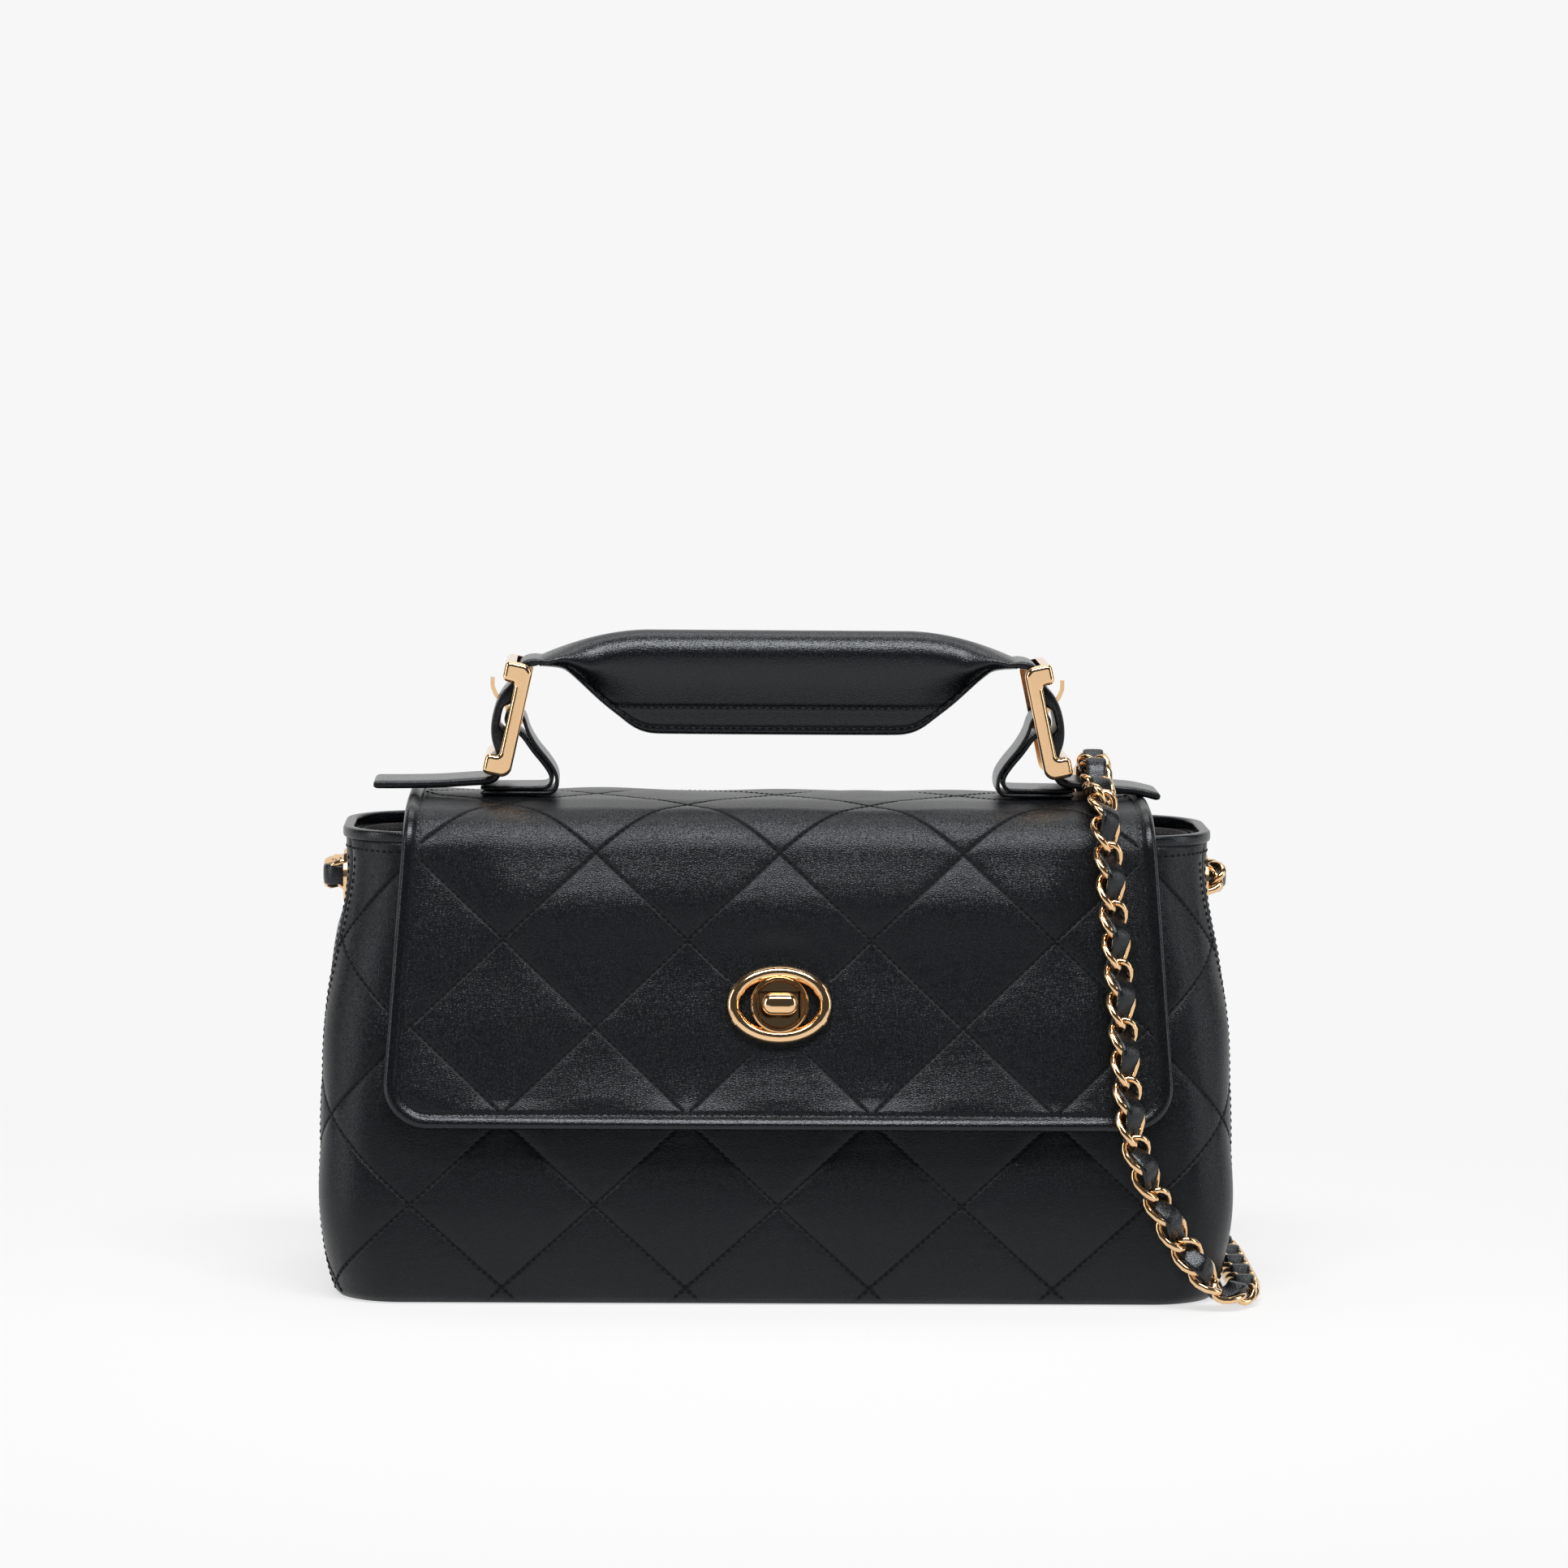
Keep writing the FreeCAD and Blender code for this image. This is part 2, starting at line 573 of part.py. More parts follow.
# Eyelets: a tube through gusset and lining with a rolled flange outside and a washer inside
for side, name in ((-1, "left"), (1, "right")):
    tube_end = "-(Sizes.wall + Sizes.layer_gap + Sizes.lining + Sizes.washer + Sizes.layer_gap)"
    eyelet = turned_body(
        f"{name}_eyelet",
        [
            ("Sizes.eyelet_bore", tube_end),
            ("Sizes.eyelet_bore + Sizes.eyelet_tube", tube_end),
            ("Sizes.eyelet_bore + Sizes.eyelet_tube", "Sizes.layer_gap"),
            ("Sizes.eyelet_flange", "Sizes.layer_gap"),
            ("Sizes.eyelet_flange - Sizes.eyelet_lip / 2", "Sizes.layer_gap + Sizes.eyelet_lip"),
            ("Sizes.eyelet_bore + Sizes.eyelet_lip / 2", "Sizes.layer_gap + Sizes.eyelet_lip"),
            ("Sizes.eyelet_bore", "Sizes.layer_gap + Sizes.eyelet_lip / 2"),
        ],
    )
    washer = turned_body(
        f"{name}_eyelet_washer",
        [
            ("Sizes.eyelet_bore + Sizes.eyelet_tube + Sizes.layer_gap", "-Sizes.washer"),
            ("Sizes.eyelet_flange", "-Sizes.washer"),
            ("Sizes.eyelet_flange", "0"),
            ("Sizes.eyelet_bore + Sizes.eyelet_tube + Sizes.layer_gap", "0"),
        ],
    )
    facing = FreeCAD.Rotation(Y_AXIS, 90 * side)
    eyelet.Placement = FreeCAD.Placement(V(side * size("waist_width") / 2, 0, size("eyelet_height")), facing)
    washer_in = size("waist_width") / 2 - layer - size("lining") - size("layer_gap")
    washer.Placement = FreeCAD.Placement(V(side * washer_in, 0, size("eyelet_height")), facing)
    toggle = doc.addObject("Part::Cylinder", f"{name}_chain_toggle")
    toggle.setExpression("Radius", "Sizes.toggle_radius")
    toggle.setExpression("Height", "Sizes.toggle_length")
    toggle_in = washer_in - size("washer") - size("layer_gap") - size("toggle_radius") - size("layer_gap")
    toggle.Placement = FreeCAD.Placement(
        V(side * toggle_in, -size("toggle_length") / 2, size("eyelet_height")),
        FreeCAD.Rotation(X_AXIS, -90),
    )
    keep(f"{name}_chain_toggle", toggle)

# Lock on the front panel: flange and bearing, washer inside, knob with its spindle
flap_wall = size("flap_leather") + size("flap_lining_wall")
bearing_out = "Sizes.flap_gap + Sizes.flap_lining_wall + Sizes.flap_leather + Sizes.frame_thick"
bearing_in = "-(Sizes.wall + Sizes.layer_gap + Sizes.lining + Sizes.layer_gap)"
lock_base = turned_body(
    "lock_base",
    [
        ("Sizes.spindle + Sizes.running_gap", bearing_in),
        ("Sizes.lock_bearing", bearing_in),
        ("Sizes.lock_bearing", "Sizes.layer_gap"),
        ("Sizes.lock_flange", "Sizes.layer_gap"),
        ("Sizes.lock_flange", "Sizes.layer_gap + Sizes.lock_plate"),
        ("Sizes.lock_bearing", "Sizes.layer_gap + Sizes.lock_plate"),
        ("Sizes.lock_bearing", bearing_out),
        ("Sizes.spindle + Sizes.running_gap", bearing_out),
    ],
)
lock_base.Placement = lock_place
lock_washer = turned_body(
    "lock_washer",
    [
        ("Sizes.spindle + Sizes.running_gap", f"{bearing_in} - Sizes.washer"),
        ("Sizes.lock_flange", f"{bearing_in} - Sizes.washer"),
        ("Sizes.lock_flange", bearing_in),
        ("Sizes.spindle + Sizes.running_gap", bearing_in),
    ],
)
lock_washer.Placement = lock_place
lock_spindle = turned_body(
    "lock_spindle",
    [
        ("0", f"{bearing_in} - 3 * Sizes.washer"),
        ("Sizes.lock_bearing", f"{bearing_in} - 3 * Sizes.washer"),
        ("Sizes.lock_bearing", f"{bearing_in} - Sizes.washer - Sizes.layer_gap"),
        ("Sizes.spindle", f"{bearing_in} - Sizes.washer - Sizes.layer_gap"),
        ("Sizes.spindle", f"{bearing_out} + Sizes.layer_gap"),
        ("0", f"{bearing_out} + Sizes.layer_gap"),
    ],
)
lock_spindle.Placement = lock_place

lock_knob = doc.addObject("PartDesign::Body", "lock_knob")
knob_pad = padded_outline(
    lock_knob, "knob_bar", box_corners("Sizes.knob_width / 2", "Sizes.knob_tall / 2"), "Sizes.knob_deep"
)
knob_sides = edges_along(lock_knob.Shape, Z_AXIS)
knob_end = f"Sizes.knob_tall * {KNOB_END_SHARE}"
knob_crown = f"Sizes.knob_tall * {KNOB_CROWN_SHARE}"
knob_round = rounded(lock_knob, knob_pad, "knob_ends", knob_sides, knob_end)
top_face = max(range(len(lock_knob.Shape.Faces)), key=lambda i: lock_knob.Shape.Faces[i].CenterOfMass.z)
rounded(lock_knob, knob_round, "knob_crown", [f"Face{top_face + 1}"], knob_crown)
knob_lift = size("flap_gap") + flap_wall + size("frame_thick") + size("layer_gap")
lock_knob.Placement = lock_place.multiply(FreeCAD.Placement(V(0, 0, knob_lift), FreeCAD.Rotation()))
keep("lock_knob", lock_knob)

slot_corners = box_corners("Sizes.knob_width / 2 + Sizes.slot_gap", "Sizes.knob_tall / 2 + Sizes.slot_gap")


def frame_oval(turn):
    """A point on the centre line of the oval frame, with the way the line runs there."""
    half_wide = size("frame_width") / 2 - size("frame_wire")
    half_tall = size("frame_tall") / 2 - size("frame_wire")
    place = V(half_wide * math.cos(turn), half_tall * math.sin(turn), frame_middle)
    way = V(-half_wide * math.sin(turn), half_tall * math.cos(turn), 0)
    return place, way.normalize()


# Oval wire, flat at the back, round a collar with the knob's slot
frame_middle = size("frame_thick") - size("frame_wire")
frame_start, frame_way = frame_oval(0)
frame_line = Part.Ellipse(frame_start, frame_oval(math.pi / 2)[0], V(0, 0, frame_middle)).toShape()
frame_round = Part.Wire(Part.makeCircle(size("frame_wire"), frame_start, frame_way))
frame_shape = Part.Wire(frame_line).makePipeShell([frame_round], True, False)
for share in BAND_SHARES:
    band_place, band_way = frame_oval(2 * math.pi * share)
    band_start = band_place - band_way * (size("band_long") / 2)
    band = Part.makeCylinder(size("band_wire"), size("band_long"), band_start, band_way)
    frame_shape = frame_shape.fuse(band)
collar_in = size("collar") - size("collar_rim")
collar_line = [
    V(0, 0, 0),
    V(size("collar"), 0, 0),
    V(size("collar"), 0, size("frame_thick") - size("collar_bevel")),
    V(size("collar") - size("collar_bevel"), 0, size("frame_thick")),
    V(collar_in + size("collar_bevel"), 0, size("frame_thick")),
    V(collar_in, 0, size("frame_thick") - size("collar_bevel")),
    V(collar_in, 0, size("collar_floor")),
    V(0, 0, size("collar_floor")),
]
collar_face = Part.Face(Part.makePolygon(collar_line + collar_line[:1]))
frame_shape = frame_shape.fuse(collar_face.revolve(V(), Z_AXIS, 360))
knob_room = Part.makeBox(
    size("knob_width") + 2 * size("slot_gap"),
    size("knob_tall") + 2 * size("slot_gap"),
    size("frame_width"),
    V(-size("knob_width") / 2 - size("slot_gap"), -size("knob_tall") / 2 - size("slot_gap"), 0),
)
behind_frame = Part.makeBox(
    2 * size("frame_width"),
    2 * size("frame_tall"),
    size("overrun"),
    V(-size("frame_width"), -size("frame_tall"), -size("overrun")),
)
frame_shape = frame_shape.cut(knob_room).cut(behind_frame).removeSplitter()
lock_frame_lift = size("flap_gap") + flap_wall
frame_shape.Placement = FreeCAD.Placement(V(0, 0, lock_frame_lift), FreeCAD.Rotation())
keep_shape("lock_frame", at_lock(frame_shape))

# Plate behind the flap that the frame is riveted to
lock_frame_back = doc.addObject("PartDesign::Body", "lock_frame_back")
back_pad = padded_outline(
    lock_frame_back,
    "back_plate",
    box_corners("Sizes.frame_width / 2 - Sizes.back_inset", "Sizes.frame_tall / 2 - Sizes.back_inset"),
    "Sizes.back_plate",
)
back_sides = edges_along(lock_frame_back.Shape, Z_AXIS)
rounded(lock_frame_back, back_pad, "back_plate_corners", back_sides, "Sizes.back_corner")
pocket_outline(lock_frame_back, "back_plate_slot", slot_corners)
lock_frame_back.Placement = lock_place.multiply(
    FreeCAD.Placement(V(0, 0, size("flap_gap") - size("back_plate")), FreeCAD.Rotation())
)
keep("lock_frame_back", lock_frame_back)

# Flap: inner line from its rear edge over the rim and down the front
top_in = size("body_height") + size("flap_top_gap")
flap_top = top_in + flap_wall
handle_top = flap_top + size("handle_rise")
handle_low = flap_top + size("handle_gap")
strap_height = flap_top + size("strap_rise")
bar_height = flap_top + size("bar_rise")
lean_angle = math.radians(panel_lean)


def flap_line(height):
    """Where the inside of the flap's front stands at a height."""
    out = lock_out + size("flap_gap") / math.cos(lean_angle)
    return -out + (height - size("lock_height")) * math.tan(lean_angle)


flap_path = [
    (size("flap_rear"), top_in),
    (flap_line(top_in), top_in),
    (flap_line(size("flap_low_height")), size("flap_low_height")),
]


def flap_sheet(near, far):
    sweep = X_AXIS * 2 * size("flap_low_width")
    return ribbon(flap_path, [size("flap_fold")], near, far, in_side_view, sweep)


def flap_outline(inset):
    """The flap's outline from the front, drawn in by inset, through the whole depth."""
    top_half = size("flap_top_width") / 2 - inset
    low_half = size("flap_low_width") / 2 - inset
    low = size("flap_low_height") + inset
    high = flap_top + size("overrun")
    depth = size("belly_depth") * 2
    corners = [
        V(-top_half, -depth, high),
        V(top_half, -depth, high),
        V(low_half, -depth, low),
        V(-low_half, -depth, low),
    ]
    block = Part.Face(Part.makePolygon(corners + corners[:1])).extrude(Y_AXIS * 2 * depth)
    deep_edges = [e for e in block.Edges if abs(e.CenterOfMass.y) < size("layer_gap")]
    low_edges = [e for e in deep_edges if e.CenterOfMass.z < (low + high) / 2]
    return block.makeFillet(size("flap_corner") - inset, low_edges)


slot_width = size("knob_width") + 2 * (size("slot_gap") + size("layer_gap"))
slot_tall = size("knob_tall") + 2 * (size("slot_gap") + size("layer_gap"))
flap_slot = at_lock(
    Part.makeBox(slot_width, slot_tall, size("belly_depth"), V(-slot_width / 2, -slot_tall / 2, 0))
)
flap_inside = flap_outline(size("binding"))
flap_edge = flap_outline(0).cut(flap_inside)
keep_shape("flap_lining", flap_sheet(0, size("flap_lining_wall")).common(flap_inside).cut(flap_slot))
keep_shape("flap_outer", flap_sheet(size("flap_lining_wall"), flap_wall).common(flap_inside).cut(flap_slot))
keep_shape("flap_binding", flap_sheet(0, flap_wall).common(flap_edge))

# Leather hinge from the back panel over the rear edge
strip_in = flap_top - size("strip")
strip_clear = 2 * size("layer_gap")
back_slope = (size("waist_depth") - size("rim_depth")) / 2 / (size("body_height") - size("eyelet_height"))


def back_line(height):
    return size("rim_depth") / 2 + strip_clear + (size("body_height") - height) * back_slope


strip_low = size("body_height") - size("strip_lap")
strip_path = [
    (back_line(strip_low), strip_low),
    (back_line(strip_in), strip_in),
    (size("flap_rear") + size("layer_gap"), strip_in),
]
strip_sweep = X_AXIS * size("flap_top_width")
keep_shape(
    "flap_hinge_strip",
    ribbon(strip_path, [size("strip_fold")], 0, size("strip"), in_side_view, strip_sweep),
)


# Handle: a strap folded lengthwise, round at its fold, that opens flat towards the buckles

def handle_section(at, top, low, half_round, half_seam):
    mid = top - CROWN_SHARE * (top - low)
    a = V(at, -half_seam, low)
    b = V(at, -half_round, mid)
    c = V(at, half_round, mid)
    d = V(at, half_seam, low)
    return Part.Wire([line_edge(a, b), arc_edge(b, V(at, 0, top), c), line_edge(c, d), line_edge(d, a)])


handle_tall = handle_top - handle_low
strap_half = size("strap_width") / 2


def between(alias, share):
    return size(alias) + (strap_half - size(alias)) * share


def shared_section(at, shares):
    top, low, round_share, seam_share = shares
    return (
        at,
        handle_low + handle_tall * top,
        handle_low + handle_tall * low,
        between("handle_round", round_share),
        between("handle_seam", seam_share),
    )


strap_top = strap_height + size("strap") / 2
full = (handle_top, handle_low, size("handle_round"), size("handle_seam"))
end_rows = [
    (size("handle_flat"),) + full,
    shared_section(size("handle_shoulder"), SHOULDER_SHARES),
    shared_section(size("handle_neck"), NECK_SHARES),
    (size("handle_end"), strap_top, strap_top - size("strap"), strap_half, strap_half),
]
grip = Part.Face(handle_section(-size("handle_flat"), *full)).extrude(X_AXIS * 2 * size("handle_flat"))
right_end = Part.makeLoft([handle_section(*row) for row in end_rows], True, False)
left_end = Part.makeLoft([handle_section(-row[0], *row[1:]) for row in end_rows], True, False)
grip = grip.fuse([right_end, left_end]).removeSplitter()
filler_height = handle_top - size("handle_round")
filler_room = Part.makeCylinder(
    size("filler") + size("layer_gap"),
    2 * (size("handle_flat") + size("layer_gap")),
    V(-size("handle_flat") - size("layer_gap"), 0, filler_height),
    X_AXIS,
)
keep_shape("handle_grip", grip.cut(filler_room))
handle_filler = doc.addObject("Part::Cylinder", "handle_filler")
handle_filler.setExpression("Radius", "Sizes.filler")
handle_filler.setExpression("Height", "2 * Sizes.handle_flat")
handle_filler.Placement = FreeCAD.Placement(
    V(-size("handle_flat"), 0, filler_height),
    FreeCAD.Rotation(Y_AXIS, 90),
)
keep("handle_filler", handle_filler)

# Buckles and what runs through them, drawn for the right side. The left side is turned about Z.
buckle_half = size("buckle_length") / 2
rail_half = size("buckle_rail") / 2
reach_out = rail_half + size("buckle_reach")
buckle_step = buckle_half - size("buckle_block")
strap_rest = reach_out - size("buckle_bridge") - size("layer_gap") - size("strap") / 2
loop_out = size("bar_radius") + size("turn_gap") + size("chape") / 2
strap_bulge = loop_out + size("layer_gap") + size("strap") / 2 - strap_rest
buckle_place = FreeCAD.Placement(
    V(size("bar_out"), 0, bar_height),
    FreeCAD.Rotation(Y_AXIS, -size("lean")),
)
SIDES = {
    "right": FreeCAD.Placement(),
    "left": FreeCAD.Placement(V(), FreeCAD.Rotation(Z_AXIS, 180)),
}


def in_buckle(out, up):
    """A point of the buckle in the front view."""
    place = buckle_place.multVec(V(out, 0, up))
    return (place.x, place.z)


def placed(shape, place):
    moved = shape.copy()
    moved.Placement = place.multiply(moved.Placement)
    return moved


def make_buckle(label):
    body = doc.addObject("PartDesign::Body", label)
    rail = "Sizes.buckle_rail / 2"
    reach = "(Sizes.buckle_rail / 2 + Sizes.buckle_reach)"
    end = "Sizes.buckle_length / 2"
    step = "(Sizes.buckle_length / 2 - Sizes.buckle_block)"
    pad = padded_outline(
        body,
        f"{label}_rails",
        [
            (f"-{rail}", f"-{end}"),
            (reach, f"-{end}"),
            (reach, f"-{step}"),
            (rail, f"-{step}"),
            (rail, step),
            (reach, step),
            (reach, end),
            (f"-{rail}", end),
        ],
        "Sizes.strap_width + 2 * Sizes.buckle_gap + 2 * Sizes.buckle_side",
        True,
        "XZ_Plane",
    )
    heels = edges_beyond(body.Shape, X_AXIS, -reach_out, 0)
    last = rounded(body, pad, f"{label}_heels", heels, "Sizes.buckle_heel")
    noses = edges_beyond(body.Shape, X_AXIS, 2 * rail_half, 2 * reach_out)
    last = rounded(body, last, f"{label}_noses", noses, "Sizes.buckle_nose")
    crooks = [
        name
        for name in edges_beyond(body.Shape, X_AXIS, rail_half / 2, 2 * rail_half)
        if abs(body.Shape.getElement(name).CenterOfMass.z) < buckle_step + size("layer_gap")
    ]
    last = rounded(body, last, f"{label}_crooks", crooks, "Sizes.buckle_crook")
    flanks = [
        f"Face{number}"
        for number, face in enumerate(body.Shape.Faces, start=1)
        if abs(face.CenterOfMass.y) > size("strap_width") / 2 + size("buckle_gap") + size("layer_gap")
    ]
    rounded(body, last, f"{label}_flanks", flanks, "Sizes.buckle_soft")
    half = "Sizes.strap_width / 2 + Sizes.buckle_gap"
    under = f"{reach} - Sizes.buckle_bridge"
    low = "-(Sizes.buckle_rail / 2 + Sizes.overrun)"
    passage = [(low, f"-({half})"), (under, f"-({half})"), (under, half), (low, half)]
    pocket_outline(body, f"{label}_passage", passage)
    return body


prong_ring = size("bar_radius") + size("turn_gap") + size("prong")
prong_top = reach_out + size("layer_gap") + size("prong")
slot_half = size("prong_slot")
strap_line = [(size("handle_end"), strap_height)]
strap_line += [in_buckle(strap_rest + strap_bulge * out, buckle_half * up) for out, up in STRAP_BULGE_SHARES]
strap_bends = [size("strap_fold")] + [size("strap_wave")] * 4
strap_sheet = ribbon(
    strap_line,
    strap_bends,
    -size("strap") / 2,
    size("strap") / 2,
    in_front_view,
    Y_AXIS * size("strap_width"),
)
prong_room = Part.makeBox(
    size("buckle_length"),
    2 * slot_half,
    buckle_half,
    V(0, -slot_half, -prong_ring - size("prong") - size("layer_gap")),
)
strap_sheet = strap_sheet.cut(placed(prong_room, buckle_place))

foot_height = flap_top + size("chape") / 2
chape_path = [
    (size("bar_out"), bar_height),
    (size("chape_knee"), foot_height),
    (size("chape_end"), foot_height),
]
chape_sheet = ribbon(
    chape_path,
    [size("chape_fold")],
    -size("chape") / 2,
    size("chape") / 2,
    in_front_view,
    Y_AXIS * size("chape_width"),
)


def round_bar(radius, length):
    return Part.makeCylinder(radius, length, V(size("bar_out"), -length / 2, bar_height), Y_AXIS)


chape_sheet = chape_sheet.fuse(round_bar(loop_out, size("chape_width"))).removeSplitter()
chape_sheet = chape_sheet.cut(round_bar(size("bar_radius") + size("turn_gap"), 2 * size("chape_width")))
chape_sheet = chape_sheet.cut(round_bar(prong_ring + size("prong") + size("layer_gap"), 2 * slot_half))

prong_path = [
    (prong_ring + (prong_top - prong_ring) * out, buckle_half * up) for out, up in PRONG_SHARES
]
prong_shank = ribbon(
    prong_path,
    [size("prong_bend")] * 3,
    -size("prong"),
    size("prong"),
    in_front_view,
    Y_AXIS * 2 * size("prong"),
)
prong_thick = 2 * size("prong")
prong_eye = Part.makeCylinder(prong_ring + size("prong"), prong_thick, V(0, -prong_thick / 2, 0), Y_AXIS)
prong_bore = Part.makeCylinder(prong_ring - size("prong"), 2 * prong_thick, V(0, -prong_thick, 0), Y_AXIS)
prong_shape = placed(prong_eye.fuse(prong_shank).removeSplitter().cut(prong_bore), buckle_place)

tail_height = flap_top + size("chape") + size("tail_gap") + size("strap") / 2
tail_root = strap_line[-1]
lean_rad = math.radians(size("lean"))
tail_turn = tail_root[0] + (tail_root[1] - tail_height) * math.tan(lean_rad)

for name, side in SIDES.items():
    tail_path = [tail_root, (tail_turn, tail_height), (size(f"{name}_tail"), tail_height)]
    tail_sheet = ribbon(
        tail_path,
        [size("tail_bend")],
        -size("strap") / 2,
        size("strap") / 2,
        in_front_view,
        Y_AXIS * size("strap_width"),
    )
    keep_shape(f"{name}_strap", placed(strap_sheet, side))
    keep_shape(f"{name}_tail", placed(tail_sheet, side))
    keep_shape(f"{name}_chape", placed(chape_sheet, side))
    keep_shape(f"{name}_prong", placed(prong_shape, side))
    buckle = make_buckle(f"{name}_buckle")
    buckle.Placement = side.multiply(buckle_place)
    keep(f"{name}_buckle", buckle)
    bar = doc.addObject("Part::Cylinder", f"{name}_buckle_bar")
    bar.setExpression("Radius", "Sizes.bar_radius")
    bar.setExpression("Height", "Sizes.strap_width + 2 * Sizes.buckle_gap")
    bar_length = size("strap_width") + 2 * size("buckle_gap")
    bar_seat = FreeCAD.Placement(V(0, bar_length / 2, 0), FreeCAD.Rotation(X_AXIS, 90))
    bar.Placement = side.multiply(buckle_place).multiply(bar_seat)
    keep(f"{name}_buckle_bar", bar)


# Shoulder chain

def closed_solid(points, triangles):
    """A solid whose faces are the given triangles."""
    shell = Part.Shape()
    shell.makeShapeFromMesh((points, triangles), size("running_gap") / 10)
    solid = Part.Solid(shell.Shells[0])
    if solid.Volume < 0:
        solid.reverse()
    return solid


def ring_triangles(rings, sides, closed):
    """Triangles between rings of points, each ring with the same count of sides."""
    triangles = []
    pairs = rings if closed else rings - 1
    for ring in range(pairs):
        here = ring * sides
        there = (ring + 1) % rings * sides
        for side in range(sides):
            after = (side + 1) % sides
            triangles.append((here + side, there + side, there + after))
            triangles.append((here + side, there + after, here + after))
    if not closed:
        last = (rings - 1) * sides
        for side in range(1, sides - 1):
            triangles.append((0, side + 1, side))
            triangles.append((last, last + side, last + side + 1))
    return triangles


def curb_link(rings, sides):
    """One oval link of round wire, its two ends twisted opposite ways so that links lie flat in a row."""
    half_long = size("link_length") / 2
    half_wide = size("link_width") / 2

    def centre(turn):
        across = half_wide * math.copysign(abs(math.cos(turn)) ** LINK_OVAL_SHARE, math.cos(turn))
        along = half_long * math.copysign(abs(math.sin(turn)) ** LINK_OVAL_SHARE, math.sin(turn))
        twist = math.radians(size("link_twist")) * along / half_long
        return V(across * math.cos(twist), along, across * math.sin(twist))

    points = []
    for ring in range(rings):
        turn = 2 * math.pi * (ring + 0.5) / rings
        nudge = math.pi / rings
        way = (centre(turn + nudge) - centre(turn - nudge)).normalize()
        outward = centre(turn)
        outward = (outward - way * outward.dot(way)).normalize()
        aside = way.cross(outward)
        for side in range(sides):
            angle = 2 * math.pi * (side + 0.5) / sides
            around = outward * math.cos(angle) + aside * math.sin(angle)
            points.append(centre(turn) + around * size("link_wire"))
    return closed_solid(points, ring_triangles(rings, sides, True))


def rounded_route(points):
    """Straight runs joined by tangent arcs, each as large as its runs allow."""
    edges = []
    radii = []
    at = points[0]
    for before, corner, after in zip(points, points[1:], points[2:]):
        come = (corner - before).normalize()
        go = (after - corner).normalize()
        turn = come.getAngle(go)
        reach = BEND_SHARE * min((corner - before).Length, (after - corner).Length)
        radii.append(reach / math.tan(turn / 2))
        enter = corner - come * reach
        leave = corner + go * reach
        inward = (go - come).normalize()
        sagitta = radii[-1] * (1 / math.cos(turn / 2) - 1)
        edges.append(line_edge(at, enter))
        edges.append(arc_edge(enter, corner + inward * sagitta, leave))
        at = leave
    edges.append(line_edge(at, points[-1]))
    return Part.Wire(edges), radii


route_scale = (size("waist_width") / 2, size("belly_depth") / 2, size("body_height"))
route_points = [V(*(share * length for share, length in zip(row, route_scale))) for row in ROUTE_SHARES]
route_facings = [V(*row[3:]).normalize() for row in ROUTE_SHARES]
route_wire, route_radii = rounded_route(route_points)
link_count = round(route_wire.Length / size("link_pitch"))
beads = route_wire.discretize(Number=2 * link_count + 1)
marks = [min(range(len(beads)), key=lambda i, p=p: (beads[i] - p).Length) for p in route_points]
marks[0] = 0
marks[-1] = len(beads) - 1


def bead_frame(index):
    """Place, run and facing of the chain at a bead."""
    ahead = beads[min(index + 1, len(beads) - 1)]
    behind = beads[max(index - 1, 0)]
    way = (ahead - behind).normalize()
    after = next(i for i in range(1, len(marks)) if marks[i] >= index)
    span = max(marks[after] - marks[after - 1], 1)
    share = (index - marks[after - 1]) / span
    facing = route_facings[after - 1] * (1 - share) + route_facings[after] * share
    facing = (facing - way * facing.dot(way)).normalize()
    return beads[index], way, facing


def link_row(fine_first, fine_last):
    """One link for every second bead, finer between the two given beads."""
    fine_link = curb_link(FRONT_LINK_RINGS, FRONT_LINK_SIDES)
    plain_link = curb_link(HIDDEN_LINK_RINGS, HIDDEN_LINK_SIDES)
    row = []
    for index in range(1, len(beads), 2):
        place, way, facing = bead_frame(index)
        turn = FreeCAD.Rotation(way.cross(facing), way, facing, "YZX")
        link = fine_link if fine_first <= index <= fine_last else plain_link
        row.append(placed(link, FreeCAD.Placement(place, turn)))
    return Part.makeCompound(row)


def lace_between(first, last):
    """The lace passes through the middle of each link, in turn over and under the joints between links."""
    points = []
    for index in range(first, last + 1):
        place, way, facing = bead_frame(index)
        aside = way.cross(facing) * (size("lace_width") / 2)
        lift = 0
        if index % 4 == 0:
            lift = size("lace_front")
        if index % 4 == 2:
            lift = -size("lace_back")
        middle = place + facing * lift
        up = facing * (size("lace_thick") / 2)
        points += [middle - aside - up, middle + aside - up, middle + aside + up, middle - aside + up]
    return closed_solid(points, ring_triangles(last - first + 1, 4, False))


keep_shape("chain_links", link_row(marks[FRONT_FIRST_COUNT], marks[FRONT_LAST_COUNT]))
keep_shape("chain_lace", lace_between(2, len(beads) - 3))
print("chain length", round(route_wire.Length), "links", link_count)
print("bend radii of the chain route", [round(r) for r in route_radii])

# Every object has to be sound before anything is written
doc.recompute()
for item in doc.Objects:
    if "Invalid" in item.State or "Error" in item.State:
        raise RuntimeError(f"{item.Label} failed: {item.State}")
for label, item in solids.items():
    if item.Shape.isNull() or not item.Shape.isValid():
        raise RuntimeError(f"{label} has no sound shape")

os.makedirs("parts", exist_ok=True)
for label, item in solids.items():
    item.Shape.exportStep(f"parts/{label}.step")
print(len(solids), "sub-parts written")
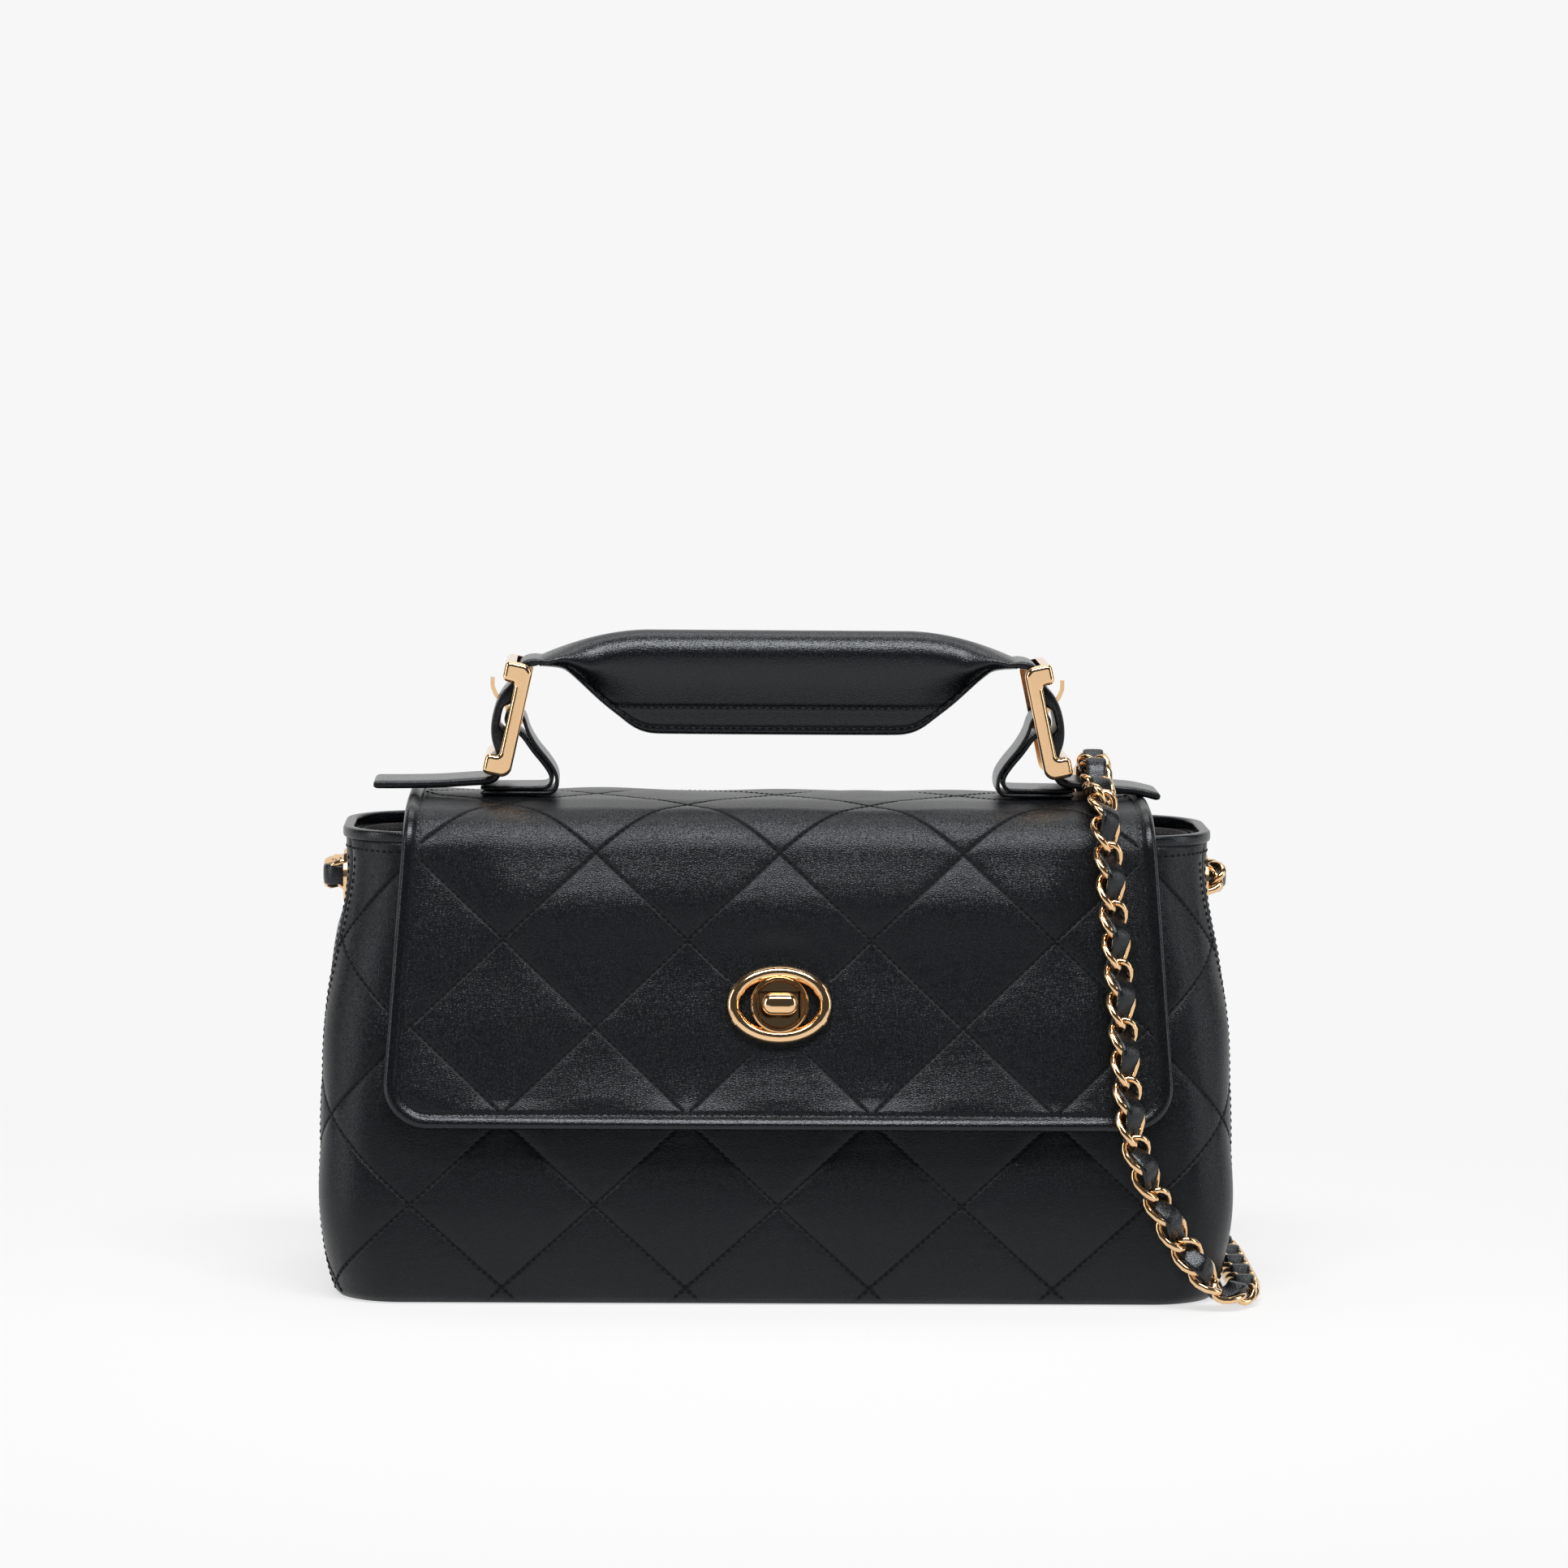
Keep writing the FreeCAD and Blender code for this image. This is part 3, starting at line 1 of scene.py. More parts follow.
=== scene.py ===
# %% [markdown]
# # A quilted chain bag
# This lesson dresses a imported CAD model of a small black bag. The metal pieces stay as the CAD made them.
# Leather, cloth, thread and chain are made here, because they are soft and the CAD holds them only as plain
# solids. Everything is in metres in the frame of the CAD, so a piece needs no fitting. Sizes are written in
# millimetres and turned into metres when a mesh is made.

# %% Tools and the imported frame
import math
import bpy
import numpy as np
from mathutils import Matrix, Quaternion, Vector


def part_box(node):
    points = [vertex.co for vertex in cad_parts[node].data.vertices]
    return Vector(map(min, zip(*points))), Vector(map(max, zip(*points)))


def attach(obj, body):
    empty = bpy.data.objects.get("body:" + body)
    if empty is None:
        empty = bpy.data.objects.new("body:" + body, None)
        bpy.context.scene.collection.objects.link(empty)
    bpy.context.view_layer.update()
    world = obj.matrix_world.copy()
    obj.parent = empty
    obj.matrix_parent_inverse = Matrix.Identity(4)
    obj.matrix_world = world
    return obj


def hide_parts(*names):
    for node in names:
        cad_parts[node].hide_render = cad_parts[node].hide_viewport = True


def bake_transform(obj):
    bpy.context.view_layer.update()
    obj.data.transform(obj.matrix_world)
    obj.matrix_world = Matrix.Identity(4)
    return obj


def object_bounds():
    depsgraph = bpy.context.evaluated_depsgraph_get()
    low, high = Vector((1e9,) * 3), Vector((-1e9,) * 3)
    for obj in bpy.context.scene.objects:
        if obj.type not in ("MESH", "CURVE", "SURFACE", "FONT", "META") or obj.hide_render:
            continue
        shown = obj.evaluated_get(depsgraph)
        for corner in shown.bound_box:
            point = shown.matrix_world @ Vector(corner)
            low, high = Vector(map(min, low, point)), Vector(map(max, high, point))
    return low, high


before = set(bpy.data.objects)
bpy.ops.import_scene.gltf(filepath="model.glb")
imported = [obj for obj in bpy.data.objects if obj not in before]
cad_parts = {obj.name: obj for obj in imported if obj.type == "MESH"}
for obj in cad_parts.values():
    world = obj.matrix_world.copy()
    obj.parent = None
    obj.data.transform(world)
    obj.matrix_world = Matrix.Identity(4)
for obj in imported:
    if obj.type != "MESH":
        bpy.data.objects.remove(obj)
cad_box = [list(corner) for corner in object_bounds()]
MM = 0.001
print("CAD box in mm", [[round(v / MM, 1) for v in corner] for corner in cad_box])

# %% [markdown]
# ## Camera
# The photograph looks at the front from a little above, with a long lens: the top of the flap shows as a
# thin strip and the sides hardly at all. A lens of 144 mm at 1.5 m gives that flat view. The small roll is
# how the bag leans in the picture.

# %% Camera
scene = bpy.context.scene
scene.view_settings.view_transform = "Standard"
LOOK_AT = Vector((0.0012, -0.020, 0.1225))
AWAY = 1.5
ELEVATION = math.radians(5.5)
AZIMUTH = math.radians(-1.5)
ROLL = math.radians(0.475)
LENS = 144.1
lens = bpy.data.cameras.new("camera")
lens.lens = LENS
lens.sensor_width = 36
lens.clip_end = 20
camera = bpy.data.objects.new("camera", lens)
scene.collection.objects.link(camera)
flat = math.cos(ELEVATION)
back_way = Vector((flat * math.sin(AZIMUTH), -flat * math.cos(AZIMUTH), math.sin(ELEVATION)))
camera.location = LOOK_AT + back_way * AWAY
camera.rotation_mode = "QUATERNION"
camera.rotation_quaternion = back_way.to_track_quat("Z", "Y") @ Quaternion((0, 0, 1), ROLL)
scene.camera = camera
print("camera at", [round(v, 3) for v in camera.location])

# %% [markdown]
# ## Arithmetic on shader sockets
# A material is a network of nodes. Written by hand, a sum of two textures takes six lines, so this small
# class wraps one output socket: `a * 0.7 + b` makes the Math nodes, and `node` makes any other node. Four
# nodes that come up again and again have a short form: the Object coordinates, a noise, a wave and a bump.

# %% A socket with arithmetic
class Shade:
    def __init__(self, tree, socket=None):
        self.tree = tree
        self.socket = socket

    def node(self, kind, settings=(), inputs=(), output=0):
        made = self.tree.nodes.new(kind)
        for key, value in dict(settings).items():
            setattr(made, key, value)
        for key, value in dict(inputs).items():
            if isinstance(value, Shade):
                self.tree.links.new(value.socket, made.inputs[key])
            else:
                made.inputs[key].default_value = value
        return Shade(self.tree, made.outputs[output]) if made.outputs else made

    def maths(self, operation, first, second):
        return self.node("ShaderNodeMath", {"operation": operation}, {0: first, 1: second})

    def __add__(self, other):
        return self.maths("ADD", self, other)

    def __radd__(self, other):
        return self.maths("ADD", other, self)

    def __mul__(self, other):
        return self.maths("MULTIPLY", self, other)

    def __rmul__(self, other):
        return self.maths("MULTIPLY", other, self)

    def __rsub__(self, other):
        return self.maths("SUBTRACT", other, self)

    def clamped(self):
        return self.node("ShaderNodeClamp", {}, {"Value": self})

    def mixed(self, dark, pale):
        return self.node("ShaderNodeMix", {"data_type": "RGBA"}, {0: self, 6: dark, 7: pale}, 2)

    def place(self):
        return self.node("ShaderNodeTexCoord", output="Object")

    def noise(self, place, scale, detail, output=0):
        given = {"Vector": place, "Scale": scale, "Detail": detail}
        return self.node("ShaderNodeTexNoise", {}, given, output)

    def wave(self, place, scale, way):
        return self.node("ShaderNodeTexWave", {"bands_direction": way}, {"Vector": place, "Scale": scale})

    def bump(self, height, strength, distance, under=()):
        given = {"Height": height, "Strength": strength, "Distance": distance, **dict(under)}
        return self.node("ShaderNodeBump", {}, given)


def new_material(name):
    """A material, its first wrapped socket and its main shader."""
    material = bpy.data.materials.new(name)
    material.use_nodes = True
    shader = material.node_tree.nodes["Principled BSDF"]
    return material, Shade(material.node_tree), shader


def feed(tree, shader, **links):
    """Link wrapped sockets to inputs of a shader. An underscore in a name stands for a space."""
    for name, value in links.items():
        tree.links.new(value.socket, shader.inputs[name.replace("_", " ")])


# %% [markdown]
# ## Leather, cloth, thread and gold
# The leather is almost black. What shows it as leather is its grain: cells less than half a millimetre wide
# with creases between them. A Voronoi texture measures the distance to the nearest cell edge, and a noise
# bends the cells so that they don't look tiled. The creases are duller, and painted shade makes their colour
# darker than the domes between them; a noise adds random tone. Broad patches are a little more polished, as
# on a handled bag.
#
# Quilted leather also has a sharp crease along each sewn line. The padded meshes carry an attribute, quilt,
# with the distance across both families of lines. Ping-pong folds it into the distance to the nearest line,
# and a second bump on top of the grain draws the crease there.

# %% Leather
# The darker black is painted shade for the creases of the grain; the softer black is the leather's own tone.
CREASE_SHADE_BLACK = (0.0018, 0.0022, 0.0031, 1)
SOFT_BLACK = (0.0105, 0.0120, 0.0148, 1)
COOL = (0.91, 0.96, 1.0, 1)
GRAIN_STRETCH = (0.7, 0.9, 1.0)
QUILT_WIDE = 43.6
LINE_APART = QUILT_WIDE / math.sqrt(2)
CREASE_HALF, CREASE_DEEP = 0.8, 0.00032


def leather(name, cells, roughness, relief, shine, quilted=False):
    material, start, shader = new_material(name)
    place = start.place()
    wide = start.node("ShaderNodeVectorMath", {"operation": "MULTIPLY"}, {0: place, 1: GRAIN_STRETCH})
    bend = start.noise(wide, cells * 0.5, 3.0, "Color")
    warp = (0.9 / cells,) * 3
    bent = start.node("ShaderNodeVectorMath", {"operation": "MULTIPLY_ADD"}, {0: bend, 1: warp, 2: wide})
    edge = {"feature": "DISTANCE_TO_EDGE"}
    crease = start.node("ShaderNodeTexVoronoi", edge, {"Vector": bent, "Scale": cells}, "Distance")
    domes = (crease * 2.6).clamped()
    fine = start.noise(wide, cells * 1.3, 2.0)
    broad = start.noise(place, 34.0, 3.0)
    normal = start.bump(domes * 0.75 + fine * 0.25, 0.6, relief)
    # Painted shade in the grain creases: the colour goes darker where the domes fall off to the cell edges;
    # the fine noise adds random tone on top.
    colour = (domes * domes * 0.8 + fine * 0.5 + -0.25).clamped().mixed(CREASE_SHADE_BLACK, SOFT_BLACK)
    rough = roughness + (1.0 - domes) * 0.08 + (broad + fine) * 0.07 + -0.07
    if quilted:
        lines = start.node("ShaderNodeAttribute", {"attribute_name": "quilt"}, {}, "Vector")
        first, second, mask = (start.node("ShaderNodeSeparateXYZ", {}, {0: lines}, k) for k in range(3))
        to_first, to_second = (start.maths("PINGPONG", row, LINE_APART / 2) for row in (first, second))
        nearest = start.maths("MINIMUM", to_first, to_second)
        sunk = (1.0 - nearest * (1 / CREASE_HALF)).clamped() * mask
        normal = start.bump(1.0 - sunk * sunk, 1.0, CREASE_DEEP, {"Normal": normal})
        rough = rough + sunk * 0.5
    feed(material.node_tree, shader, Base_Color=colour, Roughness=rough, Normal=normal)
    shader.inputs["Specular IOR Level"].default_value = shine
    shader.inputs["Specular Tint"].default_value = COOL
    return material


grained = leather("grained leather", 2300.0, 0.28, 0.00009, 0.31, True)
grip_leather = leather("grip leather", 2100.0, 0.22, 0.00006, 0.44)
smooth = leather("smooth leather", 1900.0, 0.21, 0.00005, 0.40)
edge_paint = leather("edge paint", 900.0, 0.30, 0.00004, 0.36)
print("leather materials", grained.name, grip_leather.name, smooth.name, edge_paint.name)

# %% [markdown]
# Polished gold is mostly reflection. Its roughness changes a little from place to place with fine wiping
# marks, so highlights are not perfectly clean. The thread has a twist, drawn by a wave texture. The lining
# is a woven cloth: two crossed waves give the threads that go over and under.

# %% Gold, thread, cloth and board
gold, start, shader = new_material("polished gold")
place = start.place()
marks = start.noise(place, 900.0, 4.0)
cloud = start.noise(place, 60.0, 2.0)
tint = cloud.mixed((0.80, 0.50, 0.26, 1), (0.92, 0.64, 0.37, 1))
feed(gold.node_tree, shader, Base_Color=tint, Roughness=0.05 + marks * 0.08 + cloud * 0.04)
shader.inputs["Metallic"].default_value = 1.0

thread, start, shader = new_material("thread")
twist = start.wave(start.place(), 900.0, "DIAGONAL")
normal = start.bump(twist, 0.5, 0.00008)
colour = twist.mixed((0.0012, 0.0012, 0.0016, 1), (0.005, 0.005, 0.006, 1))
feed(thread.node_tree, shader, Base_Color=colour, Normal=normal, Roughness=0.55 + twist * 0.1)
shader.inputs["Specular IOR Level"].default_value = 0.15


def woven(name, threads, dark, pale, roughness):
    material, start, shader = new_material(name)
    place = start.place()
    weave = start.wave(place, threads, "X") * start.wave(place, threads, "Z")
    wear = start.noise(place, 70.0, 4.0)
    normal = start.bump(weave, 0.5, 0.0002)
    colour = (weave * 0.6 + wear * 0.4).mixed(dark, pale)
    feed(material.node_tree, shader, Base_Color=colour, Normal=normal, Roughness=roughness + wear * 0.15)
    return material


lining_cloth = woven("lining cloth", 260.0, (0.012, 0.011, 0.011, 1), (0.035, 0.032, 0.031, 1), 0.7)
board = woven("pressed board", 120.0, (0.16, 0.12, 0.08, 1), (0.27, 0.21, 0.15, 1), 0.8)
print("other materials", gold.name, thread.name, lining_cloth.name, board.name)

# %% [markdown]
# ## Studio
# The floor runs back and bends up into a wall, so there is no corner behind the bag. Camera rays and glossy
# rays see it as almost white paper, and near the bag it takes a part of its colour from light, so that it
# keeps the shadow. All other rays see plain diffuse paper. The world is white for the camera and a soft grey
# for everything else. A wide light above the front gives the sheen on the folds, the others draw the edges.

# %% Floor and wall
PAPER = 0.93
FADE, LIT_SHARE = 2.2, 0.35
low = cad_box[0][2]
bends = [math.radians(angle) for angle in range(0, 91, 10)]
sweep = [(-8, low)] + [(3 + 2 * math.sin(a), low + 2 - 2 * math.cos(a)) for a in bends] + [(5, low + 7)]
sweep_points = [(x, y, z) for y, z in sweep for x in (-8, 8)]
sweep_faces = [(2 * k, 2 * k + 1, 2 * k + 3, 2 * k + 2) for k in range(len(sweep) - 1)]
floor_mesh = bpy.data.meshes.new("floor")
floor_mesh.from_pydata(sweep_points, [], sweep_faces)
floor = bpy.data.objects.new("floor", floor_mesh)
scene.collection.objects.link(floor)
floor_paint = bpy.data.materials.new("pale floor")
floor_paint.use_nodes = True
floor_tree = floor_paint.node_tree
floor_tree.nodes.clear()
start = Shade(floor_tree)
rays = floor_tree.nodes.new("ShaderNodeLightPath")
seen = Shade(floor_tree, rays.outputs["Is Camera Ray"]) + Shade(floor_tree, rays.outputs["Is Glossy Ray"])
away = start.node("ShaderNodeVectorMath", {"operation": "LENGTH"}, {0: start.place()}, "Value")
near = (1.0 - away * FADE).clamped()
matt = start.node("ShaderNodeBsdfDiffuse", {}, {"Color": (0.86, 0.86, 0.86, 1)})
glow = start.node("ShaderNodeEmission", {}, {"Color": (PAPER, PAPER, PAPER, 1), "Strength": 1.0})
share = seen.clamped() * (1.0 - near * LIT_SHARE)
both = start.node("ShaderNodeMixShader", {}, {0: share, 1: matt, 2: glow})
start.node("ShaderNodeOutputMaterial", {}, {"Surface": both})
floor_mesh.materials.append(floor_paint)
print("floor and wall faces", len(sweep_faces))

# %% World and lights
world = bpy.data.worlds.new("studio")
scene.world = world
world.use_nodes = True
world.node_tree.nodes.clear()
start = Shade(world.node_tree)
rays = world.node_tree.nodes.new("ShaderNodeLightPath")
seen = Shade(world.node_tree, rays.outputs["Is Camera Ray"])
level = {"Color": (PAPER, PAPER, PAPER, 1), "Strength": 0.07 + seen * 0.93}
sky = start.node("ShaderNodeBackground", {}, level)
start.node("ShaderNodeOutputWorld", {}, {"Surface": sky})
LIGHTS = [
    ("key light", (0.05, -0.7, 1.25), 0.08, 1.2, 0.38, 22),
    ("left light", (-1.1, -0.35, 0.45), 0.08, 0.35, 0.9, 3.5),
    ("right light", (1.1, -0.30, 0.45), 0.08, 0.35, 0.9, 3),
    ("top light", (0, 0.35, 1.2), 0.1, 0.9, 0.4, 4),
]
for name, place, aim_high, wide, tall, watts in LIGHTS:
    data = bpy.data.lights.new(name, "AREA")
    data.shape = "RECTANGLE"
    data.size, data.size_y = wide, tall
    data.energy = watts
    lamp = bpy.data.objects.new(name, data)
    lamp.location = place
    lamp.rotation_euler = (Vector(place) - Vector((0, 0, aim_high))).to_track_quat("Z", "Y").to_euler()
    scene.collection.objects.link(lamp)

# %% [markdown]
# ## Meshes from rings and grids
# Nearly every soft piece here is one of two kinds. A strap, a lace, a link or the handle is a row of rings
# joined by quads, like a tube. A panel is a pair of grids, outside and inside, closed round its border.
# Both keep the number of points per row, so a sewn line can be found again on the finished surface.

# %% Mesh helpers
def new_piece(name, points, faces, material):
    """An object from points in millimetres, smooth shaded, with its normals outward."""
    points = np.asarray(points, float)
    mesh = bpy.data.meshes.new(name)
    mesh.from_pydata((points * MM).tolist(), [], faces)
    mesh.materials.append(material)
    mesh.update()
    mesh.calc_loop_triangles()
    triangles = np.array([tuple(t.vertices) for t in mesh.loop_triangles])
    a, b, c = (points[triangles[:, k]] for k in range(3))
    if np.einsum("ij,ij->i", a, np.cross(b, c)).sum() < 0:
        mesh.flip_normals()
    mesh.polygons.foreach_set("use_smooth", [True] * len(mesh.polygons))
    piece = bpy.data.objects.new(name, mesh)
    scene.collection.objects.link(piece)
    return piece


def ring_faces(rings, sides, closed):
    faces = []
    for ring in range(rings if closed else rings - 1):
        here = ring * sides
        there = (ring + 1) % rings * sides
        for side in range(sides):
            after = (side + 1) % sides
            faces.append((here + side, here + after, there + after, there + side))
    if not closed:
        faces.append(tuple(range(sides - 1, -1, -1)))
        faces.append(tuple((rings - 1) * sides + side for side in range(sides)))
    return faces


def ring_piece(name, rings, material, closed=False):
    rings = np.asarray(rings, float)
    count, sides = rings.shape[:2]
    return new_piece(name, rings.reshape(-1, 3), ring_faces(count, sides, closed), material)


def shell_piece(name, outside, inside, material, keep=None):
    """Two grids closed round their border. keep marks the cells that stay, so that a hole can be left."""
    rows, columns = outside.shape[:2]
    points = np.concatenate([outside.reshape(-1, 3), inside.reshape(-1, 3)])
    half = rows * columns
    faces = []
    for i in range(rows - 1):
        for j in range(columns - 1):
            if keep is not None and not keep[i, j]:
                continue
            a = i * columns + j
            faces.append((a, a + 1, a + columns + 1, a + columns))
            faces.append((half + a, half + a + columns, half + a + columns + 1, half + a + 1))
    border = list(range(columns))
    border += [i * columns + columns - 1 for i in range(1, rows)]
    border += [(rows - 1) * columns + j for j in range(columns - 2, -1, -1)]
    border += [i * columns for i in range(rows - 2, 0, -1)]
    for here, there in zip(border, border[1:] + border[:1]):
        faces.append((there, here, half + here, half + there))
    return new_piece(name, points, faces, material)


# %% [markdown]
# Small curves turn up all over: a step that eases in and out, a hump, a quarter of a circle. The smooth
# lines are NURBS splines, read back as rows of points and spaced evenly.

# %% Small curves and lines
def unit(vectors):
    return vectors / np.maximum(np.linalg.norm(vectors, axis=-1, keepdims=True), 1e-9)


def smooth_step(value):
    t = np.clip(value, 0, 1)
    return t * t * (3 - 2 * t)


def hump(value, middle, width):
    """One at the middle, falling off smoothly to both sides."""
    return np.exp(-(((value - middle) / width) ** 2))


def quarter_round(value):
    """A quarter of a circle that rises from zero to one."""
    return np.sqrt(1 - (1 - np.clip(value, 0, 1)) ** 2)


def signed_power(value, power):
    return np.sign(value) * np.abs(value) ** power


def oval_section(width, thick, corner, count):
    """A flat rounded section: distances across and outward, going round once."""
    turn = 2 * np.pi * (np.arange(count) + 0.5) / count
    return width / 2 * signed_power(np.cos(turn), corner), thick / 2 * signed_power(np.sin(turn), corner)


def spline_line(points):
    """The smooth line of a NURBS spline that has the given points as its control points."""
    curve = bpy.data.curves.new("line", "CURVE")
    curve.dimensions = "3D"
    spline = curve.splines.new("NURBS")
    spline.points.add(len(points) - 1)
    for point, place in zip(spline.points, points):
        point.co = (*place, 1)
    spline.order_u = 3
    spline.use_endpoint_u = True
    spline.resolution_u = 12
    holder = bpy.data.objects.new("line", curve)
    mesh = bpy.data.meshes.new_from_object(holder)
    line = np.array([v.co for v in mesh.vertices])
    bpy.data.objects.remove(holder)
    bpy.data.curves.remove(curve)
    bpy.data.meshes.remove(mesh)
    return line


def spaced(line, count, *others):
    """A line again with evenly spaced points, and other rows of numbers that go with it."""
    along = np.concatenate([[0], np.cumsum(np.linalg.norm(np.diff(line, axis=0), axis=1))])
    at = np.linspace(0, along[-1], count)
    return [np.stack([np.interp(at, along, column) for column in row.T], 1) for row in (line, *others)]


# %% [markdown]
# ## The shoulder chain
# The chain is the cord of this object: a leather lace woven through flat curb links. Its route runs from the
# left eyelet behind the bag, over the flap beside the right buckle, down the front, round the right side on
# the floor and back up to the right eyelet. The points are the control points of one NURBS spline, and the
# lace and the links follow points read from that spline. A second spline carries the way that the flat of
# the chain faces. On the front stretch the flat leans to one side, as it does in the photograph.

# %% Route of the chain
ROUTE = [
    (-94, 0, 97.7, 0, -1, 0), (-108.5, 1, 97.7, -1, -1, 0), (-106.7, 17, 97.5, -1, 0.1, 0),
    (-104, 31, 95.5, -1, 1, 0), (-88.6, 37, 88, 0, 1, 0.2), (-61.7, 40, 72, 0, 1, 0.2),
    (-29.9, 43.3, 60.5, 0, 1, 0.2), (2, 44.2, 57.5, 0, 1, 0.2), (31.8, 43.1, 62, 0, 1, 0.2),
    (55.7, 40, 74, 0, 1, 0.2), (69.7, 37.6, 90, 0, 1, 0.2), (76.1, 36.4, 107, 0, 1, 0.2),
    (77.8, 33, 121.5, 0, 1, 1), (77.4, 17, 121.4, 0, 0, 1), (77, 9, 126.2, 0, 0, 1),
    (76.6, -9, 126.2, 0, 0, 1), (76.4, -17, 121.6, 0, 0, 1), (76.4, -31, 122, 0, -0.6, 1),
    (77.4, -38, 110, 0, -1, 0.3), (79, -40.8, 92, 0, -1, 0.2), (80.8, -44.8, 72, 0, -1, 0.2),
    (82, -48.9, 52, 0, -1, 0.2), (83.6, -51, 40, 0, -1, 0.2), (89.6, -48.8, 26, 0, -1, 0.1),
    (97, -47.4, 13.5, 0.2, -1, 0.3), (105, -45.6, 4.2, 0.1, -0.5, 1), (110.5, -40.5, 2.7, 0, 0, 1),
    (112.8, -27, 2.7, 0, 0, 1), (112.6, -5, 2.7, 0, 0, 1), (113, 18, 2.7, 0, 0, 1),
    (111.5, 38, 2.7, 0, 0, 1), (105.5, 50.5, 2.9, 0, 0.4, 1), (101, 51, 13, 0, 1, 0.4),
    (97, 47.2, 36, 0, 1, 0.2), (95, 43.5, 60, 0, 1, 0.2), (97, 38.9, 82, 0, 1, 0.2),
    (104, 31, 95.5, 1, 1, 0), (106.7, 17, 97.5, 1, 0.1, 0), (108.5, 1, 97.7, 1, -1, 0),
    (94, 0, 97.7, 0, -1, 0),
]
LINK_LONG, LINK_WIDE, LINK_WIRE, LINK_PITCH = 9.0, 6.3, 0.85, 7.0
LINK_ROUND, LINK_TWIST = 0.82, math.radians(52)
LACE_WIDE, LACE_THICK, LACE_FRONT, LACE_BACK = 5.0, 1.7, 2.3, -1.4
route = spline_line([p[:3] for p in ROUTE])
faces_way = spline_line([p[3:] for p in ROUTE])
route_length = np.linalg.norm(np.diff(route, axis=0), axis=1).sum()
link_count = int(round(route_length / LINK_PITCH))
pitch = route_length / link_count
print("chain length in mm", round(route_length), "links", link_count)

# %% [markdown]
# The lace goes in front of the links at every second joint and behind them between. A cosine along the
# route gives that weave, so the lace bends evenly instead of in corners.

# %% Lace
LACE_STEPS = 8
CHAIN_LEAN = math.radians(35)
line, facing = spaced(route, link_count * LACE_STEPS + 1, faces_way)
way = unit(np.gradient(line, axis=0))
facing = unit(facing - way * np.einsum("ij,ij->i", facing, way)[:, None])
aside = np.cross(way, facing)
in_front = smooth_step((line[:, 2] - 14) / 12) * smooth_step((-line[:, 1] - 20) / 12)
lean = (CHAIN_LEAN * in_front)[:, None]
facing, aside = facing * np.cos(lean) - aside * np.sin(lean), aside * np.cos(lean) + facing * np.sin(lean)
weave = np.cos(np.pi * np.arange(len(line)) / LACE_STEPS)
lift = (LACE_FRONT + LACE_BACK) / 2 + (LACE_FRONT - LACE_BACK) / 2 * weave
across, outward = oval_section(LACE_WIDE, LACE_THICK, 0.5, 14)
pinch = 1 - 0.12 * (1 - np.abs(weave))
lace_rings = (line + facing * lift[:, None])[:, None] + (
    aside[:, None] * (across[None] * pinch[:, None])[..., None] + facing[:, None] * outward[None, :, None]
)
lace = ring_piece("chain_lace_leather", lace_rings, grip_leather)
print("lace rings", len(lace_rings))

# %% [markdown]
# A Geometry Nodes tree puts one shape on every point of a mesh. The points carry two vectors, the way the
# chain runs and the way its flat faces, and two Align Rotation nodes turn each copy to them.

# %% A tree that copies one shape to many points
def copies_tree(name, with_scatter):
    """Copies of a shape on points, turned to the attributes way and facing."""
    tree = bpy.data.node_groups.new(name, "GeometryNodeTree")
    inputs = {
        "Geometry": "Geometry", "Shape": "Object", "Size": "Vector", "Scatter": "Float", "Seed": "Int",
        "Material": "Material",
    }
    for label, kind in inputs.items():
        tree.interface.new_socket(label, in_out="INPUT", socket_type=f"NodeSocket{kind}")
    tree.interface.new_socket("Geometry", in_out="OUTPUT", socket_type="NodeSocketGeometry")
    nodes = Shade(tree)
    entry = tree.nodes.new("NodeGroupInput")

    def given(socket):
        return Shade(tree, entry.outputs[socket])

    vector = {"data_type": "FLOAT_VECTOR"}
    way = nodes.node("GeometryNodeInputNamedAttribute", vector, {"Name": "way"})
    facing = nodes.node("GeometryNodeInputNamedAttribute", vector, {"Name": "facing"})
    align = "FunctionNodeAlignRotationToVector"
    first = nodes.node(align, {"axis": "Y"}, {"Vector": way})
    turn = nodes.node(align, {"axis": "Z", "pivot_axis": "Y"}, {"Rotation": first, "Vector": facing})
    size = given("Size")
    if with_scatter:
        least, most = 1.0 - given("Scatter"), 1.0 + given("Scatter")
        chances = {2: least, 3: most, 8: given("Seed")}
        chance = nodes.node("FunctionNodeRandomValue", {"data_type": "FLOAT"}, chances, 1)
        size = nodes.node("ShaderNodeVectorMath", {"operation": "SCALE"}, {0: size, "Scale": chance})
    shape = nodes.node("GeometryNodeObjectInfo", {}, {"Object": given("Shape")}, "Geometry")
    spots = {"Points": given("Geometry"), "Instance": shape, "Rotation": turn, "Scale": size}
    copies = nodes.node("GeometryNodeInstanceOnPoints", {}, spots)
    real = nodes.node("GeometryNodeRealizeInstances", {}, {"Geometry": copies})
    painted = nodes.node("GeometryNodeSetMaterial", {}, {"Geometry": real, "Material": given("Material")})
    leave = tree.nodes.new("NodeGroupOutput")
    tree.links.new(painted.socket, leave.inputs["Geometry"])
    return tree


# %% [markdown]
# The tree works as a modifier on a mesh of bare points. What it makes is read back as one plain mesh, so the
# finished piece needs no modifier.

